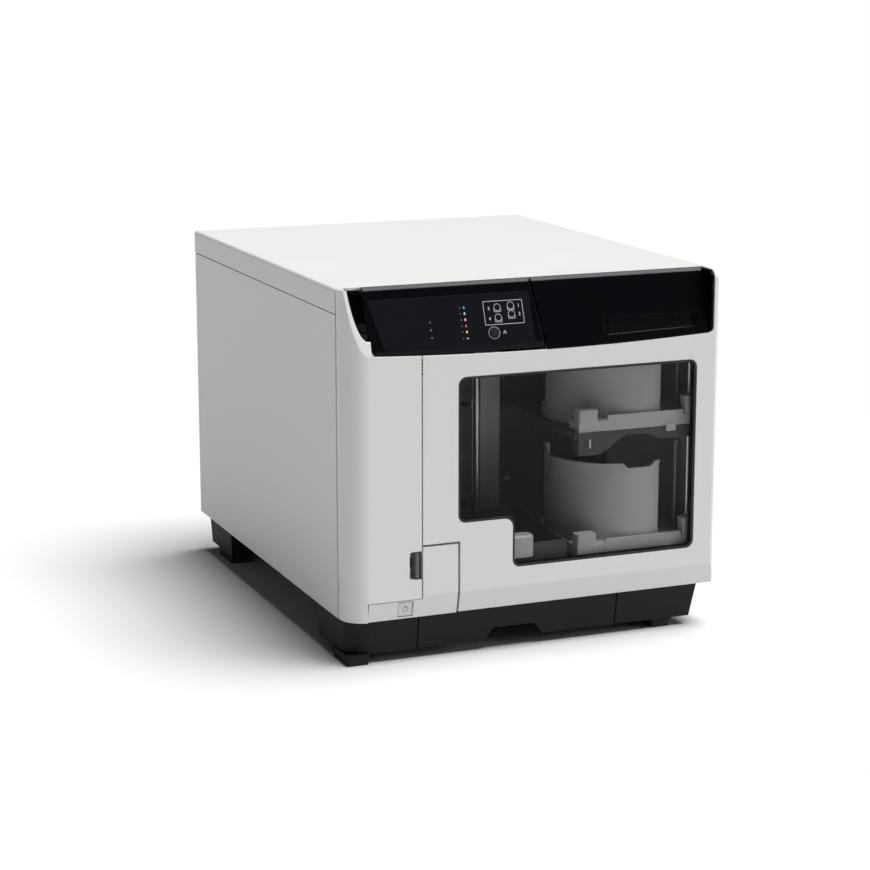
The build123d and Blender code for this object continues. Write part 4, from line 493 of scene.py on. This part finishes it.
# ---------------------------------------------------------------------------------------------
# Ink cartridges: black polypropylene boxes, which look waxy, each with a coloured paper label. The
# label is glued on the front face, which lies behind the grip.
cartridge_pp = finish("black_polypropylene", "#202124", 0.5, 0.4, 0.4, edge_mm=0.6, ior=1.49)
grip_length, label_rise = 0.0050, 0.0185
for slot_number, (tone_name, tone) in enumerate(reversed(ink_tones), start=1):
    cartridge = f"ink_cartridge_{slot_number}"
    dress(cartridge_pp, cartridge)
    low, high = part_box(cartridge)
    label = bmesh.new()
    rounded_plate(label, 40.0, 10.0, 1.5)
    label_tone = "#1b1b1d" if tone_name == "black" else tone
    label_y = low[1] + grip_length - label_proud
    at = Matrix.Translation(((low[0] + high[0]) / 2, label_y, low[2] + label_rise))
    place_print(label, f"cartridge_label_{tone_name}", ink(f"{tone_name}_label_paper", label_tone, rough=0.6),
                at @ upright)

# ---------------------------------------------------------------------------------------------
# Main board: glass epoxy laminate under a green solder mask, a printed lacquer. It is glossy, and
# its green is deeper over the copper.
solder_mask = finish("green_solder_mask", "#14452a", 0.8, 0.4, 0.3, spread=0.05, shade=0.15, edge_mm=0.2,
                     ior=1.55)
dress(solder_mask, "main_board")

# ---------------------------------------------------------------------------------------------
# Screws: zinc plated pan heads with a cross recess, which hold the rear panel, the fan, the bulkhead
# and the column. The heads are pressed from wire and stand about one millimetre proud. Each recess
# stopped at an angle of its own.
screw_zinc = finish("bright_screw_zinc", "#a9a9a6", 0.6, 0.2, 0.3, spread=0.06, shade=0.05, edge_mm=0.15,
                    metallic=1.0)
rear_y, bulkhead_y, column_y = 231.2, -52.0, -54.0
to_front, to_rear = 90, -90


def facing(x, y, z, turn=0.0, spin=0.0):
    """Matrix of a small fitting: its place in mm, the turn of its own Z about X and its spin about
    that Z, in degrees."""
    return (Matrix.Translation((x / 1000, y / 1000, z / 1000)) @ Matrix.Rotation(math.radians(turn), 4, "X")
            @ Matrix.Rotation(math.radians(spin), 4, "Z"))


def turned(bm, matrix, rows, sides=24):
    """A turned body along its own Z, in mm, from rows of radius and height. A third value in a row
    pulls the radius in between four arms, as a cross recess does."""
    rings = []
    for radius, height, *pull in rows:
        points = []
        for i in range(sides):
            between_arms = pull and 2 <= i % 6 <= 4
            reach = radius * (pull[0] if between_arms else 1.0)
            angle = 2 * math.pi * i / sides
            point = Vector((reach * math.cos(angle), reach * math.sin(angle), height)) / 1000
            points.append(matrix @ point)
        rings.append(points)
    grown(bm, rings)


def screws(name, places, radius, head=1.05):
    """A set of pan head screws as one piece: their matrices, the head's radius and its height. The
    rows run up the rim and over the dome, then down into the recess."""
    rows = [(radius, 0.02), (radius, head * 0.35), (radius * 0.86, head * 0.75), (radius * 0.6, head),
            (radius * 0.42, head, 0.4), (radius * 0.34, head * 0.3, 0.4)]
    bm = bmesh.new()
    for matrix in places:
        turned(bm, matrix, rows)
    settle(bm, name, screw_zinc, "chassis")


rear_places = [(x, z) for x in (-182.0, 182.0) for z in range(56, 305, 62)]
rear_places += [(x, 318.0) for x in (-110.0, -10.0)] + [(x, 49.0) for x in (-120.0, 60.0, 104.0)]
screws("rear_screws", [facing(x, rear_y, z, to_rear, 17.0 * i) for i, (x, z) in enumerate(rear_places)],
       radius=3.0)
fan_x, fan_z, fan_hole = 105.0, 225.0, 35.75
screws("fan_screws", [facing(fan_x + x, rear_y, fan_z + z, to_rear, x * z) for x in (-fan_hole, fan_hole)
                      for z in (-fan_hole, fan_hole)], radius=2.6, head=1.0)
screws("bulkhead_screws", [facing(x, bulkhead_y, z, to_front, z) for x in (49.0, 180.0)
                           for z in (120.0, 230.0, 310.0)], radius=2.4)
screws("column_screws", [facing(x, column_y, z, to_front, z) for x in (24.0, 35.0) for z in (96.0, 330.0)],
       radius=1.9)

# ---------------------------------------------------------------------------------------------
# Rating plate on the back, left blank: brushed aluminium foil with a printed black frame, glued to
# the rear panel. The brushing runs across, so its shine is a soft upright band.
plate_foil = finish("brushed_aluminium_foil", "#b7b8b8", 0.4, 0.15, 0.34, spread=0.05, edge_mm=0.1,
                    metallic=1.0, stretch=(0.04, 1, 1))
plate_x, plate_z, plate_thickness = -20.0, 128.0, 0.35


def moulding(bm, matrix, width, depth, height, corner=1.0, top=0.4):
    """A block with rounded corners and a chamfered upper edge, on its own XY, in mm. The chamfer
    bridges the wall's upper edge and a smaller plate at the top."""
    wall = extruded(bm, rounded_plate(bm, width, depth, corner, matrix))
    rise = matrix.to_3x3() @ Vector((0, 0, (height - top) / 1000))
    bmesh.ops.translate(bm, verts=wall.verts[:], vec=rise)
    lid = rounded_plate(bm, width - 2 * top, depth - 2 * top, corner - top,
                        matrix @ Matrix.Translation((0, 0, height / 1000)))
    bmesh.ops.bridge_loops(bm, edges=wall.edges[:] + lid.edges[:])
    bmesh.ops.delete(bm, geom=[wall], context="FACES_ONLY")


rating_plate = bmesh.new()
moulding(rating_plate, facing(plate_x, rear_y, plate_z, to_rear), 74.0, 44.0, plate_thickness, corner=2.5,
         top=0.1)
settle(rating_plate, "rating_plate", plate_foil, "chassis")
plate_frame = bmesh.new()
open_frame(plate_frame, -34.0, -19.0, 34.0, 19.0, 0.6)
bar(plate_frame, -33.4, 6.0, 33.4, 6.4)
bar(plate_frame, 4.0, -18.4, 4.4, 6.0)
place_print(plate_frame, "plate_frame", border_ink,
            facing(plate_x, rear_y + plate_thickness + 0.01, plate_z, to_rear))

# ---------------------------------------------------------------------------------------------
# Power sign and seam comb: a grey sign printed on the power button, which leans with the chin of
# the front, and five small black rubber nibs at the top of the seam. They damp the ink cover when
# it closes. Sizes in mm.
sign_ink = ink("grey_sign_ink", "#77797b")
chin_top_z, chin_height, chin_back = 62.0, 20.4, 4.5
sign_x, sign_z, button_sunk = -131.5, 51.0, 0.36
sign_y = front_y + chin_back * (chin_top_z - sign_z) / chin_height + button_sunk
chin_lean = math.degrees(math.atan2(chin_back, chin_height))
power_sign = bmesh.new()
ring(power_sign, 0, 0, 2.7, 0.5, sides=32)
bar(power_sign, -0.28, 0.4, 0.28, 3.6)
place_print(power_sign, "power_sign", sign_ink, facing(sign_x, sign_y, sign_z, to_front + chin_lean),
            body="power_button")

nib_rubber = finish("black_nib_rubber", "#101010", 0.5, 0.4, 0.7, edge_mm=0.2)
comb_x, comb_y, comb_top_z, comb_pitch = -115.25, -229.9, 282.0, 2.9
seam_comb = bmesh.new()
for nib in range(5):
    moulding(seam_comb, facing(comb_x, comb_y, comb_top_z - comb_pitch * nib, to_front), 0.7, 1.4, 2.3,
             corner=0.25, top=0.2)
settle(seam_comb, "seam_comb", nib_rubber, "disc_cover")

# ---------------------------------------------------------------------------------------------
# Drive and printer fronts: each tray's flap has a moulded button in satin ABS, a green lens over
# its lamp, and the rim of a small access hole, set in one row. Sizes in mm.
bezel_button = finish("satin_button_abs", "#2b2c2f", 0.4, 0.3, 0.35, edge_mm=0.3)
lens_green = ink("green_lamp_lens", "#3f7a52", rough=0.2, glow=0.1)
flap_y, row_rise = -80.0, 6.0
button_x, hole_x, lamp_x = -17.0, -29.0, -37.0
for body, flap_z in (("drive_tray_1", 269.5), ("drive_tray_2", 226.5), ("printer_tray", 144.5)):
    row_z = flap_z + row_rise
    button = bmesh.new()
    moulding(button, facing(button_x, flap_y, row_z, to_front), 11.0, 3.6, 0.7, corner=1.2, top=0.3)
    turned(button, facing(hole_x, flap_y, row_z, to_front), [(0.8, 0.0), (0.8, 0.15), (0.5, 0.15)])
    settle(button, f"{body}_button", bezel_button, body)
    lens = bmesh.new()
    moulding(lens, facing(lamp_x, flap_y, row_z, to_front), 4.0, 1.8, 0.35, corner=0.6, top=0.15)
    settle(lens, f"{body}_lamp", lens_green, body)

# ---------------------------------------------------------------------------------------------
# Print head's drive: a rubber belt round two steel pulleys in the housing, beside the rod, and two
# felt pads in the tub that catch stray ink. Belt and felt are dull.
belt_rubber = finish("toothed_belt_rubber", "#141414", 0.6, 0.5, 0.65, edge_mm=0.2)
pulley_xs, pulley_z, pulley_radius = (-12.0, -122.0), 193.0, 5.0
belt_y, belt_width, belt_wall, belt_end_wall = -55.5, 6.0, 1.2, 1.08
middle_x = sum(pulley_xs) / 2
belt_line = []
for pulley_x, first_degree in zip(pulley_xs, (90, 270)):
    for step in range(13):
        angle = math.radians(first_degree - 15 * step)
        belt_line.append((pulley_x + pulley_radius * math.cos(angle),
                          pulley_z + pulley_radius * math.sin(angle)))
belt = bmesh.new()
inside = belt.faces.new([belt.verts.new((x / 1000, belt_y / 1000, z / 1000)) for x, z in belt_line])
bmesh.ops.inset_region(belt, faces=[inside], thickness=belt_wall / 1000, use_boundary=True)
# The band's inner line is the outer one moved in by the wall, from each side and each end.
for vert, (x, z) in zip(inside.verts, belt_line):
    inner_x = x - belt_end_wall if x > middle_x else x + belt_end_wall
    inner_z = z - belt_wall if z > pulley_z else z + belt_wall
    vert.co = (inner_x / 1000, belt_y / 1000, inner_z / 1000)
bmesh.ops.delete(belt, geom=[inside], context="FACES")
thicken(belt, (0, belt_width / 1000, 0))
settle(belt, "head_belt", belt_rubber, "chassis")

pulleys = bmesh.new()
for x in pulley_xs:
    turned(pulleys, facing(x, -48.7, pulley_z, to_front), [(5.0, 0.0), (5.0, 0.6), (3.7, 0.6), (3.7, 7.0),
                                                           (5.0, 7.0), (5.0, 7.6), (1.6, 7.6), (1.6, 6.4)])
settle(pulleys, "belt_pulleys", ground_steel, "chassis")

felt = finish("grey_ink_felt", "#8d8f8e", 0.5, 0.9, 0.95, spread=0.02, shade=0.12, edge_mm=0.4)
pads = bmesh.new()
for x in (-22.0, -110.0):
    moulding(pads, facing(x, 40.0, 115.1), 26.0, 50.0, 4.0, corner=3.0, top=1.0)
settle(pads, "ink_pads", felt, "chassis")

# ---------------------------------------------------------------------------------------------
# Board fittings: aluminium capacitors in dark film sleeves and white nylon connectors, soldered to
# the main board. Each can has a groove rolled near its foot, and a cross scored in its top.
sleeve_film = finish("dark_capacitor_sleeve", "#20242c", 0.5, 0.2, 0.3, edge_mm=0.2)
board_face = 47.0
capacitors = bmesh.new()
for x, y, radius, height in ((28, 120, 6.3, 18), (28, 138, 6.3, 18), (28, 156, 5.0, 14),
                             (12, 126, 5.0, 14), (12, 144, 4.0, 11), (-4, 120, 4.0, 11),
                             (-100, 200, 5.0, 14), (-84, 200, 5.0, 14), (-132, 196, 4.0, 11)):
    foot = [(radius * 0.94, 0.0), (radius, 0.8), (radius, 1.8), (radius * 0.93, 2.3), (radius, 2.9)]
    rim = [(radius, height - 0.8), (radius * 0.9, height), (radius * 0.8, height)]
    cross = [(radius * 0.78, height - 0.4), (radius * 0.4, height - 0.4, 0.35),
             (radius * 0.3, height - 0.7, 0.35)]
    turned(capacitors, facing(x, y, board_face), foot + rim + cross)
settle(capacitors, "board_capacitors", sleeve_film, "chassis")

connector_nylon = finish("white_connector_nylon", "#cfcdc2", 0.5, 0.3, 0.5, edge_mm=0.3)
shell_height, key_shift = 9.0, 2.2
connectors = bmesh.new()
for x, y, width in ((-136, 120, 20), (-136, 150, 30), (-136, 176, 14), (-60, 190, 36), (-10, 196, 24),
                    (38, 180, 16)):
    moulding(connectors, facing(x, y, board_face), 7.0, width, shell_height, corner=0.6, top=0.5)
    moulding(connectors, facing(x + key_shift, y, board_face + shell_height), 1.6, width * 0.6, 1.8,
             corner=0.4, top=0.3)
settle(connectors, "board_connectors", connector_nylon, "chassis")

# ---------------------------------------------------------------------------------------------
# Loose wires: stranded copper in soft satin sleeves. Each colour has one wire from the supply to the
# board and one from the lift motor to the board. The motor's three end in a nylon plug.


def wire(bm, points, radius, sides=10, steps=8):
    """A round wire through points in mm, with an even bend between them."""
    path = [Vector(p) / 1000 for p in points]
    path = [2 * path[0] - path[1]] + path + [2 * path[-1] - path[-2]]
    line = []
    for i in range(1, len(path) - 2):
        p0, p1, p2, p3 = path[i - 1:i + 3]
        for step in range(steps):
            t = step / steps
            line.append(0.5 * (2 * p1 + (p2 - p0) * t + (2 * p0 - 5 * p1 + 4 * p2 - p3) * t ** 2
                               + (3 * p1 - p0 - 3 * p2 + p3) * t ** 3))
    line.append(path[-2])
    side = (line[1] - line[0]).orthogonal().normalized()
    rings = []
    for i, point in enumerate(line):
        along = (line[min(i + 1, len(line) - 1)] - line[max(i - 1, 0)]).normalized()
        side = (side - along * side.dot(along)).normalized()
        other = along.cross(side)
        angles = [2 * math.pi * k / sides for k in range(sides)]
        rings.append([point + (side * math.cos(a) + other * math.sin(a)) * radius / 1000 for a in angles])
    grown(bm, rings)


# The routes were chosen one by one. The wires lie side by side, each shifted from the first.
supply_radius, motor_radius = 0.9, 0.8
for colour_name, tone, shift in (("red", "#8e1f1c", 0.0), ("black", "#151515", 2.2),
                                 ("yellow", "#b89a2c", 4.4)):
    sleeve = ink(f"{colour_name}_wire_sleeve", tone, rough=0.4)
    wires = bmesh.new()
    wire(wires, [(59.6, 176 + shift, 62), (52, 176 + shift, 62), (46, 177 + shift, 60),
                 (41.8, 178 + shift * 0.9, 58.5)], supply_radius)
    wire(wires, [(9.6 + shift * 0.8, -41.2, 60), (9.6 + shift * 0.8, -38.8, 52), (4 + shift, -20, 47.5),
                 (-20 + shift, 20, 46.6), (-60 + shift, 70, 46.6), (-90 + shift, 98, 50),
                 (-120 + shift * 0.5, 118, 57.2)], motor_radius)
    settle(wires, f"wires_{colour_name}", sleeve, "chassis")
motor_plug = bmesh.new()
moulding(motor_plug, facing(11.5, -40.9, 60.0, to_front), 12.0, 7.0, 0.9, corner=0.8, top=0.3)
settle(motor_plug, "motor_plug", connector_nylon, "chassis")

# ---------------------------------------------------------------------------------------------
# Studio: a pale paper floor, a large soft lamp overhead, a weak one low at the front right, a faint
# even light from the room, and the camera of the photograph.
paper, tree, place, shader = start_material("pale_backdrop_paper")
cloud = add_node(tree, "ShaderNodeTexNoise", {"Vector": place, "Scale": 3.0})
paper_tone = add_node(tree, "ShaderNodeMix",
                      {0: cloud.outputs["Fac"], 6: srgb("#cfcfcf"), 7: srgb("#d2d2d2")}, data_type="RGBA")
tree.links.new(paper_tone.outputs[2], shader.inputs["Base Color"])
shader.inputs["Roughness"].default_value = 0.9
shader.inputs["Specular IOR Level"].default_value = 0.1
floor_z, floor_half = cad_box[0][2], 40.0
floor = bmesh.new()
bmesh.ops.create_grid(floor, x_segments=1, y_segments=1, size=floor_half,
                      matrix=Matrix.Translation((0, 0, floor_z)))
new_object(floor, "studio_floor", paper)

world = bpy.data.worlds.new("studio_room")
bpy.context.scene.world = world
world.use_nodes = True
room_light = world.node_tree.nodes["Background"]
room_light.inputs["Color"].default_value = (1.0, 1.0, 1.0, 1.0)
room_light.inputs["Strength"].default_value = 0.06


def studio_lamp(name, towards, strength, softness):
    """A broad distant lamp: the direction it stands in, its strength and its width in degrees."""
    lamp = bpy.data.lights.new(name, "SUN")
    lamp.energy = strength
    lamp.angle = math.radians(softness)
    holder = bpy.data.objects.new(name, lamp)
    bpy.context.collection.objects.link(holder)
    holder.rotation_euler = Vector(towards).to_track_quat("Z", "Y").to_euler()


studio_lamp("overhead_lamp", (0.26, -0.10, 0.96), 5.0, 40.0)
studio_lamp("front_lamp", (1.0, -0.60, 0.22), 0.75, 30.0)
bpy.context.scene.view_settings.view_transform = "Standard"

# The camera's place, turn and lens were fitted to the edges of the casing in the photograph.
camera_data = bpy.data.cameras.new("photo_camera")
camera_data.sensor_width = 36.0
camera_data.lens = 96.51
camera_data.clip_end = 60.0
camera = bpy.data.objects.new("photo_camera", camera_data)
bpy.context.collection.objects.link(camera)
camera.location = (-0.8875, -2.1456, 0.6663)
camera.rotation_euler = (math.radians(77.634), 0.0, math.radians(-22.293))
bpy.context.scene.camera = camera
